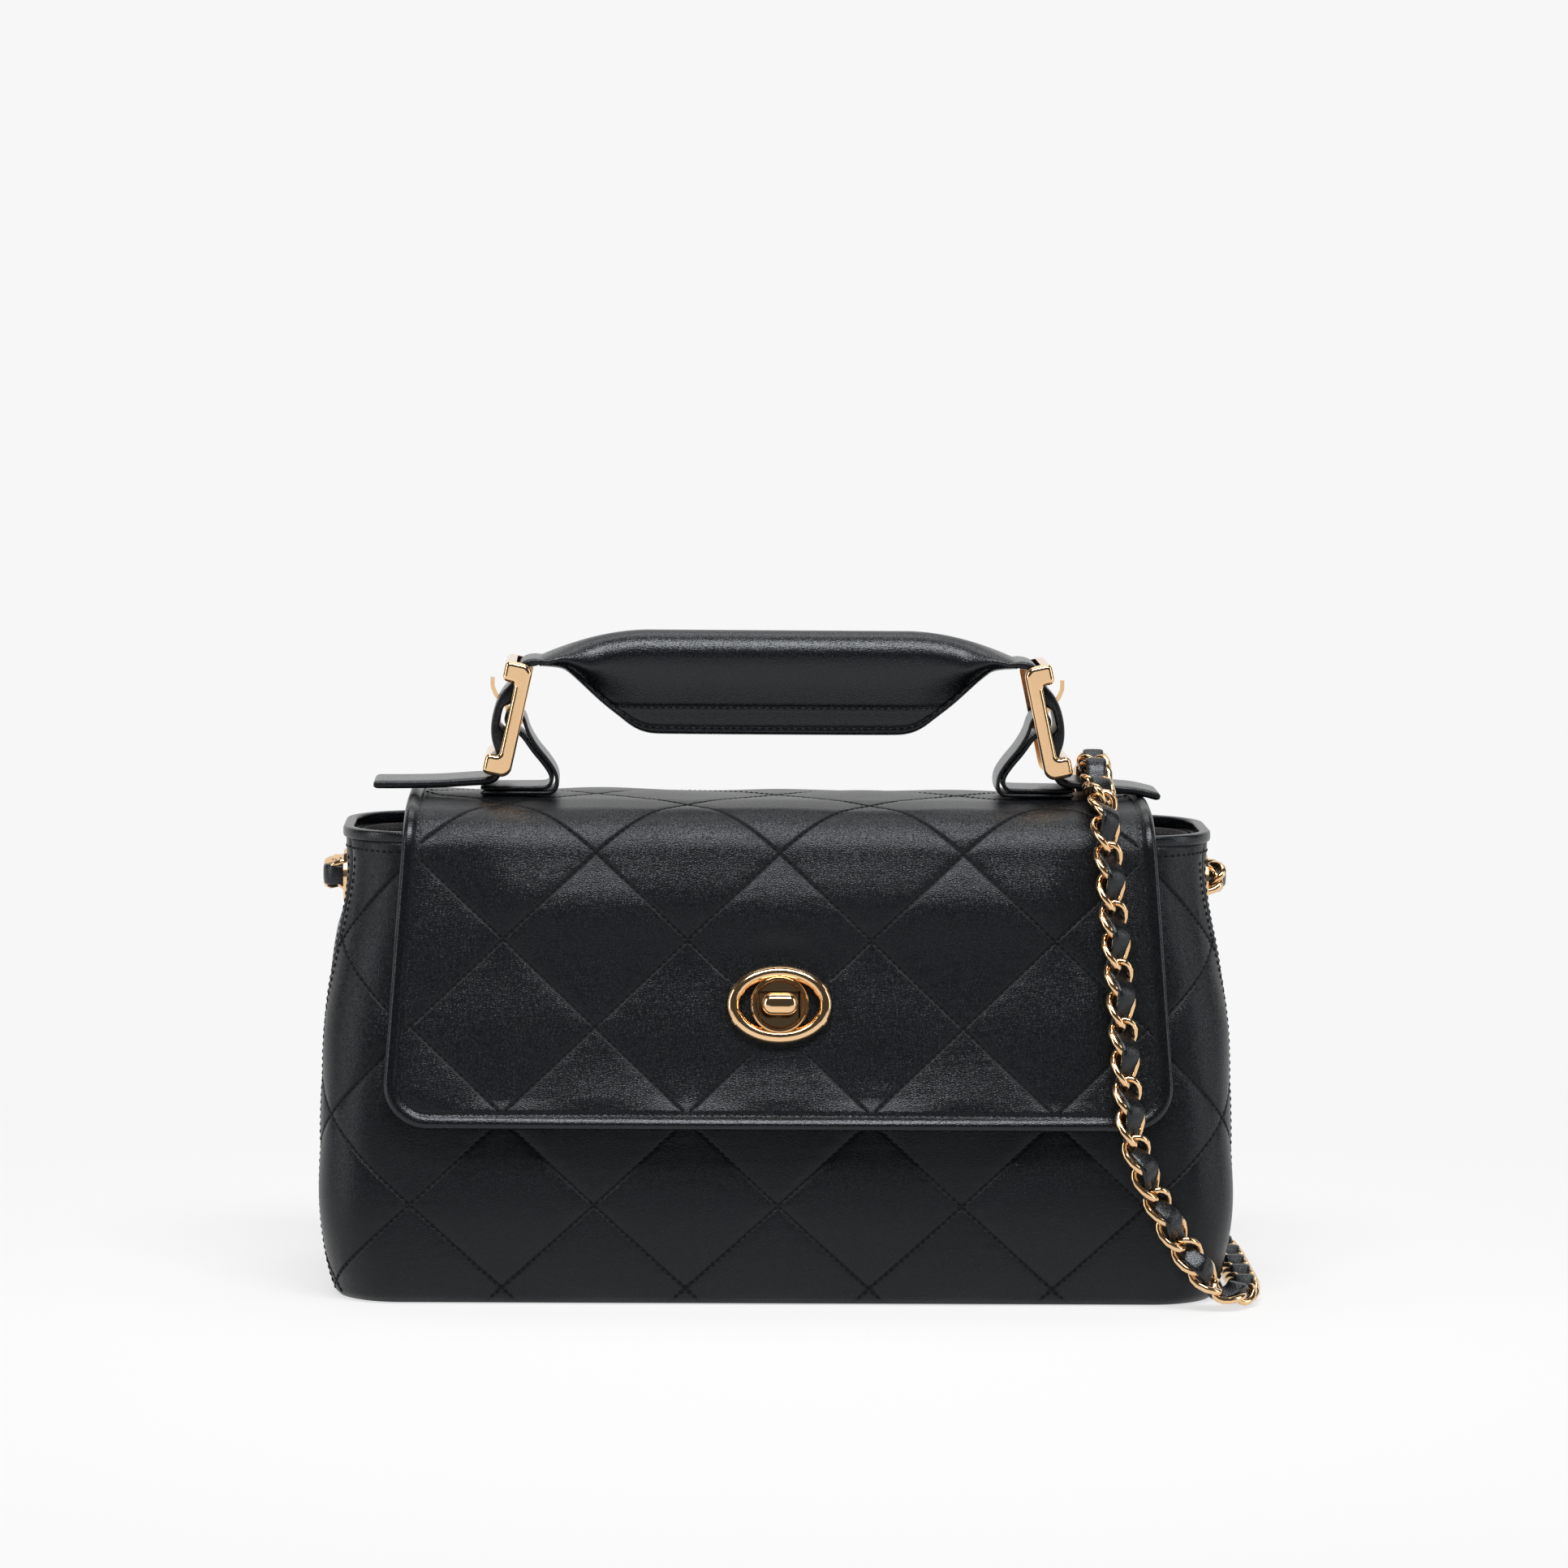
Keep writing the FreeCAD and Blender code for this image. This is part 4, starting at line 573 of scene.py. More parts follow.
# %% A piece made of copies
def copies_piece(name, tree, shape, points, ways, facings, size, material, scatter=0.0, seed=1):
    """One mesh of copies, made by the tree on points in millimetres."""
    mesh = bpy.data.meshes.new(name)
    mesh.from_pydata((np.asarray(points) * MM).tolist(), [], [])
    for label, rows in (("way", ways), ("facing", facings)):
        attribute = mesh.attributes.new(label, "FLOAT_VECTOR", "POINT")
        attribute.data.foreach_set("vector", np.asarray(rows, float).ravel())
    holder = bpy.data.objects.new(f"{name}_points", mesh)
    scene.collection.objects.link(holder)
    modifier = holder.modifiers.new("copies", "NODES")
    modifier.node_group = tree
    values = {"Shape": shape, "Size": size, "Scatter": scatter, "Seed": seed, "Material": material}
    for item in tree.interface.items_tree:
        if item.in_out == "INPUT" and item.name in values:
            modifier[item.identifier] = values[item.name]
    bpy.context.view_layer.update()
    made = bpy.data.meshes.new_from_object(holder.evaluated_get(bpy.context.evaluated_depsgraph_get()))
    made.name = name
    made.polygons.foreach_set("use_smooth", [True] * len(made.polygons))
    bpy.data.objects.remove(holder)
    piece = bpy.data.objects.new(name, made)
    scene.collection.objects.link(piece)
    return piece


# %% [markdown]
# One link is a ring of round wire drawn out to an oval, with its ends twisted opposite ways so that a row of
# links lies flat. The tree puts one in the middle of every pitch of the route.

# %% Links of the chain
def oval_link(rings, sides):
    turn = 2 * np.pi * (np.arange(rings) + 0.5) / rings

    def centre(angle):
        across = LINK_WIDE / 2 * signed_power(np.cos(angle), LINK_ROUND)
        along = LINK_LONG / 2 * signed_power(np.sin(angle), LINK_ROUND)
        twist = LINK_TWIST * along / (LINK_LONG / 2)
        return np.stack([across * np.cos(twist), along, across * np.sin(twist)], 1)

    middle = centre(turn)
    way = unit(centre(turn + 0.02) - centre(turn - 0.02))
    out = unit(middle - way * np.einsum("ij,ij->i", middle, way)[:, None])
    angle = 2 * np.pi * np.arange(sides) / sides
    cosine, sine = np.cos(angle)[None, :, None], np.sin(angle)[None, :, None]
    around = out[:, None] * cosine + np.cross(way, out)[:, None] * sine
    return middle[:, None] + around * LINK_WIRE


link_shape = ring_piece("link_shape", oval_link(20, 8), gold, closed=True)
link_tree = copies_tree("chain links", False)
middles = np.arange(link_count) * LACE_STEPS + LACE_STEPS // 2
ways_there, facings_there = way[middles], facing[middles]
links = copies_piece(
    "chain_links_gold", link_tree, link_shape, line[middles], ways_there, facings_there, (1, 1, 1), gold
)
bpy.data.objects.remove(link_shape)
for piece, node in ((lace, "chain_lace"), (links, "chain_links")):
    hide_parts(node)
    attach(piece, "bag_body")
print("links mesh faces", len(links.data.polygons))

# %% [markdown]
# ## The shape of the bag
# The body was lofted through seven rounded rectangles. Width and depth at those heights fix a smooth curve
# each, a polynomial through seven points, which is what the loft did too. A place on the wall is then two
# numbers: the distance round the bag from the middle of the front, and the height.

# %% Sections of the body
TALL, EYELET_HIGH, LOCK_HIGH = 111.0, 97.7, 71
HEIGHTS = [0, 16, 36, 56, 76, EYELET_HIGH, TALL]
WIDTHS = np.polyfit(HEIGHTS, [210.4, 217.3, 218.2, 217.4, 214.2, 206.6, 209.8], 6)
DEPTHS = np.polyfit(HEIGHTS, [80, 85.9, 84, 77.2, 69, 60, 54], 6)
CORNER_LOW, CORNER_MORE = 15, 3
GUSSET_LOW, GUSSET_LESS = 27, 11


def section(z):
    """Half width, half depth and corner radius at a height."""
    corner = CORNER_LOW + CORNER_MORE * z / TALL
    return np.polyval(WIDTHS, z) / 2, np.polyval(DEPTHS, z) / 2, corner


def round_corner_line(s, a, b, r):
    """Places on a rounded rectangle at distances from the middle of its front, and the way out of it."""
    m = np.abs(s)
    arc = np.pi / 2 * r
    side = a - r + arc
    back = side + 2 * (b - r)
    first = np.clip((m - (a - r)) / r, 0, np.pi / 2)
    second = np.clip((m - back) / r, 0, np.pi / 2)
    x = np.clip(m, 0, a - r) + r * np.sin(first) - r * (1 - np.cos(second)) - np.maximum(m - back - arc, 0)
    y = -b + r * (1 - np.cos(first)) + np.clip(m - side, 0, 2 * (b - r)) + r * np.sin(second)
    turn = first + second
    return x * np.sign(s), y, np.sin(turn) * np.sign(s), -np.cos(turn)


def wall(s, z):
    """Points on the wall at distances round the bag and heights."""
    x, y, _, _ = round_corner_line(s, *section(z))
    return np.stack([x, y, z + 0 * x], -1)


def wall_out(s, z):
    """The way out of the wall."""
    along = wall(s + 0.05, z) - wall(s - 0.05, z)
    upward = wall(s, z + 0.05) - wall(s, z - 0.05)
    return unit(np.cross(along, upward))


def seam(z):
    """Distance from the middle of the front to the seam of a gusset."""
    a, b, r = section(z)
    half = GUSSET_LOW - GUSSET_LESS * z / TALL
    on_arc = np.arccos(np.clip((half - (b - r)) / r, 0, 1)) * r
    return a - r + on_arc + np.maximum(b - r - half, 0)


def half_way(z):
    """Distance from the middle of the front to the middle of the back."""
    a, b, r = section(z)
    return 2 * (a - r) + np.pi * r + 2 * (b - r)


print("seam at the base and the rim in mm", round(float(seam(0.0)), 1), round(float(seam(TALL)), 1))

# %% [markdown]
# ## Quilting
# Two families of slanting lines cross in a lattice of diamonds about 44 mm wide. Between the lines the
# padding swells, along them the thread pulls it down. The depth has a steep part, which rises within a
# millimetre or two of a line, and a gentle part, which fills the diamond. Both are products of two curves,
# one for the distance to each family. A few slow waves with fixed phases keep the diamonds from being
# alike, and small puckers gather along the thread.

# %% Depth of the padding
RISE, FULLNESS, GENTLE_SHARE = 1.1, 1.4, 0.7


def swell(u, v, crest, groove):
    """Height of the padding where u and v count diamonds across and upward."""
    first = np.abs((u + v) - np.round(u + v)) * LINE_APART
    second = np.abs((u - v) - np.round(u - v)) * LINE_APART
    steep = (1 - np.exp(-first / RISE)) * (1 - np.exp(-second / RISE))
    gentle = (np.sin(np.pi * first / LINE_APART) * np.sin(np.pi * second / LINE_APART)) ** FULLNESS
    slow = 0.22 * np.sin(5.1 * u + 2.3 * v + 0.7) + 0.18 * np.sin(3.7 * v - 4.3 * u + 1.9)
    near = np.minimum(first, second)
    pucker = 0.10 * np.exp(-near / 2.2) * np.sin(37 * (u + v)) * np.sin(41 * (u - v) + 1)
    body = (1 - GENTLE_SHARE) * steep + GENTLE_SHARE * gentle
    return groove + (crest - groove) * body + (slow * 0.5 + pucker) * steep


def mark_lines(piece, u, v, mask):
    """Write the distance across both families of lines on a piece. The inside of the shell has no lines."""
    rows = np.stack([(u + v) * LINE_APART, (u - v) * LINE_APART, mask], -1).reshape(-1, 3)
    attribute = piece.data.attributes.new("quilt", "FLOAT_VECTOR", "POINT")
    attribute.data.foreach_set("vector", np.concatenate([rows, rows * np.array([1, 1, 0])]).ravel())


def quilt_lines(u_span, v_span, pitch):
    """Places along every line of the lattice inside a window, a stitch apart, with their direction."""
    places, ways = [], []
    step = pitch / LINE_APART / 2
    most = max(abs(v) for v in v_span)
    for lean in (1, -1):
        for number in np.arange(math.floor(u_span[0] - most), math.ceil(u_span[1] + most) + 1):
            v = np.arange(v_span[0], v_span[1], step)
            u = number - lean * v
            inside = (u > u_span[0]) & (u < u_span[1])
            places.append(np.stack([u[inside], v[inside]], 1))
            ways.append(np.tile([-lean, 1.0], (inside.sum(), 1)))
    return np.concatenate(places), np.concatenate(ways)


# %% [markdown]
# Stitches are only noted while the pieces are made. A note is a point, the way the thread runs and the way
# the leather faces there. At the end one mesh of stitches is made for each group of notes.

# %% Notes for stitches
STITCH, THREAD_LIFT = 1.75, 0.08
sewn = {}


def sew(group, surface, places, ways, step, centre, pick=None):
    """Note stitches on a surface, which is a function from rows of two numbers to points."""
    here = surface(places)
    way = unit(surface(places + ways * step) - surface(places - ways * step))
    cross = np.stack([-ways[:, 1], ways[:, 0]], 1)
    facing = unit(np.cross(way, surface(places + cross * step) - surface(places - cross * step)))
    facing *= np.sign(np.einsum("ij,ij->i", facing, here - np.asarray(centre, float)))[:, None]
    for name, mask in (pick(here).items() if pick else [(group, np.full(len(here), True))]):
        rows = sewn.setdefault(name, [[], [], []])
        for row, values in zip(rows, (here + facing * THREAD_LIFT, way, facing)):
            row.append(values[mask])


def sew_line(group, surface, line, step, centre, pick=None):
    """Note stitches a pitch apart along a line of two numbers."""
    long = np.linalg.norm(np.diff(line, axis=0), axis=1).sum()
    (places,) = spaced(line, max(2, int(round(long / STITCH)) + 1))
    middles = (places[1:] + places[:-1]) / 2
    sew(group, surface, middles, unit(np.diff(places, axis=0)), step, centre, pick)


# %% [markdown]
# ## Panels and gussets
# Front, back and the two gussets are padded shells with the lattice running on round the corners. Each
# border dips towards its seam, as leather does where it is sewn. The padding is flat round the eyelets,
# under the lock and under the lap of the flap at the back. The gussets have a hole where the eyelets pass.

# %% Padding of the walls
WALL = 2.4
WALL_TOP = TALL - 2.4
CREST, GROOVE = 0.45, -0.5
ROW_HEIGHT, ROW_START = 40.4, 24.2
EYELET_CLEAR, LOCK_CLEAR = 7.4, 8.5
LAP_LOW, LAP_HALF = 95.5, 91


def wall_count(s, z):
    """Diamonds across and upward, counted from the middle of the front or of the back."""
    middle = half_way(z)
    at_back = np.abs(s) > middle - seam(z)
    across = np.where(at_back, np.sign(s) * (middle - np.abs(s)), s) / QUILT_WIDE
    return across, (z - ROW_START) / ROW_HEIGHT


def wall_border(s, z):
    to_seam = np.minimum(np.abs(np.abs(s) - seam(z)), np.abs(np.abs(s) - half_way(z) + seam(z)))
    return np.minimum(to_seam, np.minimum(z, WALL_TOP - z))


def wall_kept(s, z):
    """One where the wall is padded, zero where a fitting or the flap lies on it."""
    x, y, z = np.moveaxis(wall(s, z), -1, 0)
    eyelet = smooth_step((np.hypot(y, z - EYELET_HIGH) - EYELET_CLEAR) / 4) + (np.abs(x) < 90)
    lock = smooth_step((np.hypot(x, z - LOCK_HIGH) - LOCK_CLEAR) / 5) + (y > 0)
    lap = smooth_step((LAP_LOW - z) / 4) + (np.abs(x) > LAP_HALF) + (y < 0)
    return np.clip(eyelet, 0, 1) * np.clip(lock, 0, 1) * np.clip(lap, 0, 1)


def wall_padding(s, z):
    """How far the padding stands out of the wall."""
    border, kept = wall_border(s, z), wall_kept(s, z)
    depth = swell(*wall_count(s, z), CREST, GROOVE)
    dip = 0.8 - 0.55 * smooth_step((z - 96) / 8)
    depth = depth * smooth_step(border / 5) - dip * hump(border, 0, 1.0)
    return depth * kept - 0.35 * (1 - kept)


def wall_surface(places):
    s, z = places[..., 0], places[..., 1]
    return wall(s, z) + wall_out(s, z) * wall_padding(s, z)[..., None]


# %% The four walls
SEAM_GAP, EYELET_HOLE = 0.12, 5.4
WALL_ROWS, WIDE_COLUMNS, GUSSET_COLUMNS = 150, 300, 74


def make_wall(name, node, s, z, holes=False):
    """A padded shell on a grid of distances round the bag and heights."""
    outside = wall_surface(np.stack([s, z], -1))
    outside[..., 2] = np.clip(outside[..., 2], 0, WALL_TOP)
    inside = wall(s, z) - wall_out(s, z) * WALL
    inside[..., 2] = z
    keep = None
    if holes:
        middle = (outside[1:, 1:] + outside[:-1, :-1]) / 2
        keep = np.hypot(middle[..., 1], middle[..., 2] - EYELET_HIGH) > EYELET_HOLE
    piece = shell_piece(name, outside, inside, grained, keep)
    mark_lines(piece, *wall_count(s, z), wall_kept(s, z) * smooth_step(wall_border(s, z) / 3))
    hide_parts(node)
    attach(piece, "bag_body")
    print(name, "faces", len(piece.data.polygons))


level = np.linspace(0, WALL_TOP, WALL_ROWS)[:, None]
z = level + np.zeros(WIDE_COLUMNS)
across = (seam(z) - SEAM_GAP) * np.linspace(-1, 1, WIDE_COLUMNS)
gusset_z = level + np.zeros(GUSSET_COLUMNS)
near, far = seam(gusset_z) + SEAM_GAP, half_way(gusset_z) - seam(gusset_z) - SEAM_GAP
share = np.linspace(0, 1, GUSSET_COLUMNS)
make_wall("front_quilt", "front_panel", across, z)
make_wall("right_quilt", "right_gusset", near + (far - near) * share, gusset_z, True)
make_wall("left_quilt", "left_gusset", -far + (far - near) * share, gusset_z, True)

# %% [markdown]
# The back panel lies across the place where the distance round the bag changes its sign, so its distances
# are counted from the middle of the back and then turned round.

# %% Back panel
turned = np.where(across < 0, -1.0, 1.0) * (half_way(z) - np.abs(across))
make_wall("back_quilt", "back_panel", turned, z)

# %% Stitches of the walls
MIDDLE, SEAM_ROOM, LAP_STITCHES = (0, 0, 60), 1.6, 93
v_span = ((2.0 - ROW_START) / ROW_HEIGHT, (WALL_TOP - 2.5 - ROW_START) / ROW_HEIGHT)
counts, ways = quilt_lines((-6, 6), v_span, STITCH)
z = counts[:, 1] * ROW_HEIGHT + ROW_START
along = counts[:, 0] * QUILT_WIDE
ways = ways * np.array([QUILT_WIDE, ROW_HEIGHT])
front_side = np.abs(along) < half_way(z) - seam(z) - SEAM_ROOM
front_side &= np.abs(np.abs(along) - seam(z)) > SEAM_ROOM
front_side &= np.hypot(wall(along, z)[:, 1], z - EYELET_HIGH) + (np.abs(along) < 60) * 99 > 9
sew("body", wall_surface, np.stack([along, z], 1)[front_side], unit(ways)[front_side], 0.4, MIDDLE)
at_back = (np.abs(along) < seam(z) - SEAM_ROOM) & (np.abs(along) > 0.6)
at_back &= ~((z > LAP_STITCHES) & (np.abs(along) < LAP_HALF))
around = np.where(along < 0, -1.0, 1.0) * (half_way(z) - np.abs(along))
back_ways = unit(ways * np.array([-1.0, 1.0]))
sew("body", wall_surface, np.stack([around, z], 1)[at_back], back_ways[at_back], 0.4, MIDDLE)
rim_level = WALL_TOP - 2.2
rim_line = np.stack([np.linspace(-0.999, 0.999, 900) * half_way(rim_level), np.full(900, rim_level)], 1)
sew_line("body", wall_surface, rim_line, 0.4, MIDDLE)
heights = np.linspace(3, WALL_TOP - 4, 200)
for side in (-1, 1):
    for off in (-2.4, 2.4):
        seam_line = np.stack([side * (seam(heights) + off), heights], 1)
        sew_line("body", wall_surface, seam_line, 0.4, MIDDLE)
print("stitches noted on the walls", sum(len(rows) for rows in sewn["body"][0]))

# %% [markdown]
# ## Base, rim, lining and pocket
# The base is a padded plate inside the lower edge of the walls. The rim is a folded strip of leather: a ring
# that goes once round the top, with a rounded crown. The lining is a thin cup with slow folds, and the slip
# pocket is a bowed ply on its back.

# %% Base
def loop(a, b, r, count):
    """Points round a rounded rectangle, evenly spaced, and the way out of it."""
    half = 2 * (a - r) + np.pi * r + 2 * (b - r)
    s = ((np.arange(count) + 0.5) / count * 2 - 1) * half
    x, y, out_x, out_y = round_corner_line(s, a, b, r)
    return np.stack([x, y], 1), np.stack([out_x, out_y], 1)


BASE_HALF, BASE_DEEP, BASE_CORNER = 103.2, 37.7, 12.5
line, _ = loop(BASE_HALF, BASE_DEEP, BASE_CORNER, 220)
BASE_ROWS = [
    (0.08, 0.35), (0.5, 0.3), (0.8, 0.2), (0.93, 0.1), (0.985, 0.2), (0.997, 0.7), (1, 1.2), (1, 1.7),
    (0.99, 2.3), (0.9, 2.35), (0.08, 2.35),
]
rings = [np.column_stack([line * share, np.full(len(line), z)]) for share, z in BASE_ROWS]
base = ring_piece("base_leather", rings, grained)
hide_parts("base_panel")
print("base faces", len(base.data.polygons))

# %% Rim
RIM_IN, RIM_THICK = 1.25, 2.7
rim_middle = TALL - RIM_IN
a, b, r = (float(v) for v in section(rim_middle))
line, out = loop(a - RIM_IN, b - RIM_IN, r - 0.8, 360)
across, upward = oval_section(RIM_THICK, RIM_THICK, 0.5, 20)
rings = [np.column_stack([at + way * across[:, None], rim_middle + upward]) for at, way in zip(line, out)]
rim = ring_piece("rim_leather", rings, smooth, closed=True)
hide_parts("rim_binding")
print("rim faces", len(rim.data.polygons))

# %% Lining
LINING_IN, LINING_THICK = 3.1, 0.7
turns = np.linspace(-0.99999, 0.99999, 260)


def lining_ring(z, inset, share=1.0, lift=None):
    """One level ring of the lining, drawn in from the wall by inset and towards the middle by share."""
    s = turns * half_way(z)
    x, y, out_x, out_y = round_corner_line(s, *section(z))
    folds = 0.3 * np.sin(s / 9 + z / 17) ** 2 * np.sin(np.pi * z / TALL)
    ring = np.stack([x - out_x * (inset + folds), y - out_y * (inset + folds)], 1) * share
    return np.column_stack([ring, np.full(len(s), z if lift is None else lift)])


tops = np.linspace(5.6, WALL_TOP - 0.3, 42)
rings = [lining_ring(5.0, LINING_IN, share, 4.55) for share in (0.05, 0.4, 0.8, 0.96)]
rings += [lining_ring(z, LINING_IN) for z in tops]
rings += [lining_ring(z, LINING_IN + LINING_THICK) for z in tops[::-1]]
rings += [lining_ring(5.6, LINING_IN + LINING_THICK, share, 5.25) for share in (0.96, 0.8, 0.4, 0.05)]
lining = ring_piece("lining_cup", rings, lining_cloth)
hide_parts("lining")
print("lining faces", len(lining.data.polygons))

# %% Slip pocket
POCKET_HALF, POCKET_DEEP, POCKET_THICK = 59.5, 6.6, 0.8
pocket_low, pocket_high = (np.array(corner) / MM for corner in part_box("slip_pocket"))
span = np.linspace(-1, 1, 81)[None]
rise = np.linspace(0, 1, 31)[:, None]
z = pocket_low[2] + 0.6 + rise * (pocket_high[2] - pocket_low[2] - 1.5) + 0 * span
x = span * POCKET_HALF + 0 * rise
against = np.polyval(DEPTHS, z) / 2 - LINING_IN - LINING_THICK - 0.6
bow = (1 - np.abs(span) ** 6) * (0.45 + 0.55 * smooth_step(rise * 4)) * (1 - 0.1 * rise * (1 - span**2))
front = np.stack([x, against - 0.9 - POCKET_DEEP * bow, z], -1)
rear = front + np.array([0, POCKET_THICK, 0])
pocket = shell_piece("slip_pocket_ply", front, rear, smooth)
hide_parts("slip_pocket")
for piece in (base, rim, lining, pocket):
    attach(piece, "bag_body")
print("pocket faces", len(pocket.data.polygons))

# %% [markdown]
# ## Flap
# The flap is one padded sheet. Seen from the side it starts on the back panel, bends over the rear edge,
# runs forward over the opening, folds at the front and leans down to its lower edge. A place on it is again
# two numbers: across, and the distance up from the lower edge. Below the fold it bulges a little, and its
# lower edge stands off the front, so that both catch the light. The border is a turned edge of smooth
# leather: a rounded bead, then a groove with the seam, then the quilting.

# %% Side view of the flap
def folded(corners, radii, step):
    """A side view made of straight runs with a round fold at each inner corner."""
    places = [np.array(corners[0], float)]
    for before, corner, after, radius in zip(corners, corners[1:], corners[2:], radii):
        corner = np.array(corner, float)
        come = unit(np.array(before) - corner)
        go = unit(np.array(after) - corner)
        half = math.acos(np.clip(come @ go, -1, 1)) / 2
        centre = corner + unit(come + go) * radius / math.sin(half)
        start = corner + come * radius / math.tan(half)
        stop = corner + go * radius / math.tan(half)
        spread = math.pi - 2 * half
        for share in np.linspace(0, 1, 24):
            mixed = start * math.sin((1 - share) * spread) + stop * math.sin(share * spread)
            mixed -= centre * (math.sin((1 - share) * spread) + math.sin(share * spread))
            places.append(centre + mixed / math.sin(spread))
    places.append(np.array(corners[-1], float))
    places = np.array(places)
    long = np.linalg.norm(np.diff(places, axis=0), axis=1).sum()
    return spaced(places, int(long / step))[0]


FLAP_CORNERS = [(32.4, 98), (28.2, 116.8), (9.5, 118.2), (-12, 118.2), (-31.6, 116.4), (-46.63, 42.8)]
side_view = folded(FLAP_CORNERS, [8, 40, 40, 12], 1.0)[::-1]
up_from_edge = np.concatenate([[0], np.cumsum(np.linalg.norm(np.diff(side_view, axis=0), axis=1))])
side_way = unit(np.gradient(side_view, axis=0))
side_out = np.stack([-side_way[:, 1], side_way[:, 0]], 1)
FLAP_LONG = up_from_edge[-1]
FLAP_THICK, STRIP_THICK = 3.3, 2.0
FLAP_CORNER, FLAP_HALF, FLAP_SPREAD = 11.5, 89, 5.2
TOP_LEVEL, FRONT_TALL = 118.2, 75.4
FLARE_OUT, FLARE_TALL = 2.4, 20
BULGE_OUT, BULGE_AT, BULGE_TALL = 1.7, 54, 9
FLAP_SEAM, FLAP_LOCK, LOCK_ROOM = 3.5, 29.8, 12.5
ROWS_UP, FLAP_ROW_START = 41.4, 24.4
print("flap length along its side view in mm", round(float(FLAP_LONG), 1))

# %% Padding of the flap
def flap_half(q):
    """Half width of the flap without its round corners."""
    height = np.interp(q, up_from_edge, side_view[:, 1])
    return FLAP_HALF + FLAP_SPREAD * np.clip((TOP_LEVEL - height) / FRONT_TALL, 0, 1) * (q < 90)


def flap_edge(x, q):
    """Distance to the nearest edge of the flap."""
    half = flap_half(q)
    plain = np.minimum(np.minimum(half - np.abs(x), q), FLAP_LONG - q)
    corner = FLAP_CORNER - np.hypot(FLAP_CORNER - q, np.abs(x) - (half - FLAP_CORNER))
    return np.where((q < FLAP_CORNER) & (np.abs(x) > half - FLAP_CORNER), corner, plain)


def flap_thick(q):
    return STRIP_THICK + (FLAP_THICK - STRIP_THICK) * smooth_step((FLAP_LONG - 24 - q) / 10)


def flap_count(x, q):
    return x / QUILT_WIDE, (q - FLAP_ROW_START) / ROWS_UP


def flap_flare(x, q):
    """The lower part stands off the front, most in the middle, and below the fold the flap bulges."""
    lower = FLARE_OUT * np.clip((FLARE_TALL - q) / FLARE_TALL, 0, 1) ** 2 * np.clip(1 - (x / 84) ** 2, 0, 1)
    bulge = BULGE_OUT * hump(q, BULGE_AT, BULGE_TALL) * smooth_step((74 - np.abs(x)) / 12)
    return lower + bulge


def flap_padding(x, q):
    """Height of the outside of the flap over its side view."""
    edge = np.maximum(flap_edge(x, q), 0)
    on_front = smooth_step((84 - q) / 10)
    depth = swell(*flap_count(x, q), 0.05 + 0.3 * on_front, -0.6)
    depth = depth * smooth_step((edge - 3.8) / 4)
    bead = quarter_round(edge / 1.4) - 1
    slant = np.clip((3.3 - edge) / 2, 0, 1)
    depth += bead * flap_thick(q) / 2 + (1.1 - 0.5 * slant) * slant
    depth -= 0.4 * hump(edge, FLAP_SEAM, 0.4)
    lock = smooth_step((np.hypot(x, q - FLAP_LOCK) - LOCK_ROOM) / 6)
    return depth * lock - 0.12 * (1 - lock)


def flap_place(x, q, out):
    """A point of the flap: across, up from the lower edge, and out of its side view."""
    y, z, out_y, out_z = (np.interp(q, up_from_edge, row) for row in (*side_view.T, *side_out.T))
    out = out + flap_flare(x, q)
    return np.stack([x + 0 * y, y + out_y * out, z + out_z * out], -1)


def flap_surface(places):
    x, q = places[..., 0], places[..., 1]
    return flap_place(x, q, flap_padding(x, q))


# %% Flap
SMOOTH_EDGE = 3.1
columns, rows = 240, 200
q = FLAP_LONG * np.linspace(0, 1, rows) ** 1.15
q = q[:, None] + np.zeros(columns)
round_off = FLAP_CORNER - np.sqrt(np.maximum(FLAP_CORNER**2 - np.maximum(FLAP_CORNER - q, 0) ** 2, 0))
t = np.linspace(-1, 1, columns)
t = np.sign(t) * (1 - (1 - np.abs(t)) ** 1.12)
x = (flap_half(q) - round_off) * t
outside = flap_surface(np.stack([x, q], -1))
edge = np.maximum(flap_edge(x, q), 0)
bead = 1 - quarter_round(edge / 1.5)
inside = flap_place(x, q, -flap_thick(q) * (1 - 0.48 * bead))
middle = (outside[1:, 1:] + outside[:-1, :-1]) / 2
SLOT_HALF, SLOT_HIGH, SLOT_TALL = 4.9, 72.1, 3.3
beside = np.abs(middle[..., 0]) > SLOT_HALF
keep = beside | (np.abs(middle[..., 2] - SLOT_HIGH) > SLOT_TALL) | (middle[..., 1] > 0)
flap = shell_piece("flap_quilt", outside, inside, grained, keep)
flap.data.materials.append(smooth)
to_edge = np.tile(edge.ravel(), 2)
for face in flap.data.polygons:
    face.material_index = int(to_edge[face.vertices[0]] < SMOOTH_EDGE)
off_lock = smooth_step((np.hypot(x, q - FLAP_LOCK) - LOCK_ROOM) / 2)
mark_lines(flap, *flap_count(x, q), smooth_step((edge - 3.8) / 1.5) * off_lock)
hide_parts("flap_outer", "flap_lining", "flap_binding", "flap_hinge_strip")
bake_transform(flap)
print("flap faces", len(flap.data.polygons))

# %% Stitches of the flap
FLAP_MIDDLE, HINGE_LINE = (0, -10, 80), 18


def by_hinge(points):
    return {"flap": points[:, 1] < HINGE_LINE, "hinge": points[:, 1] >= HINGE_LINE}


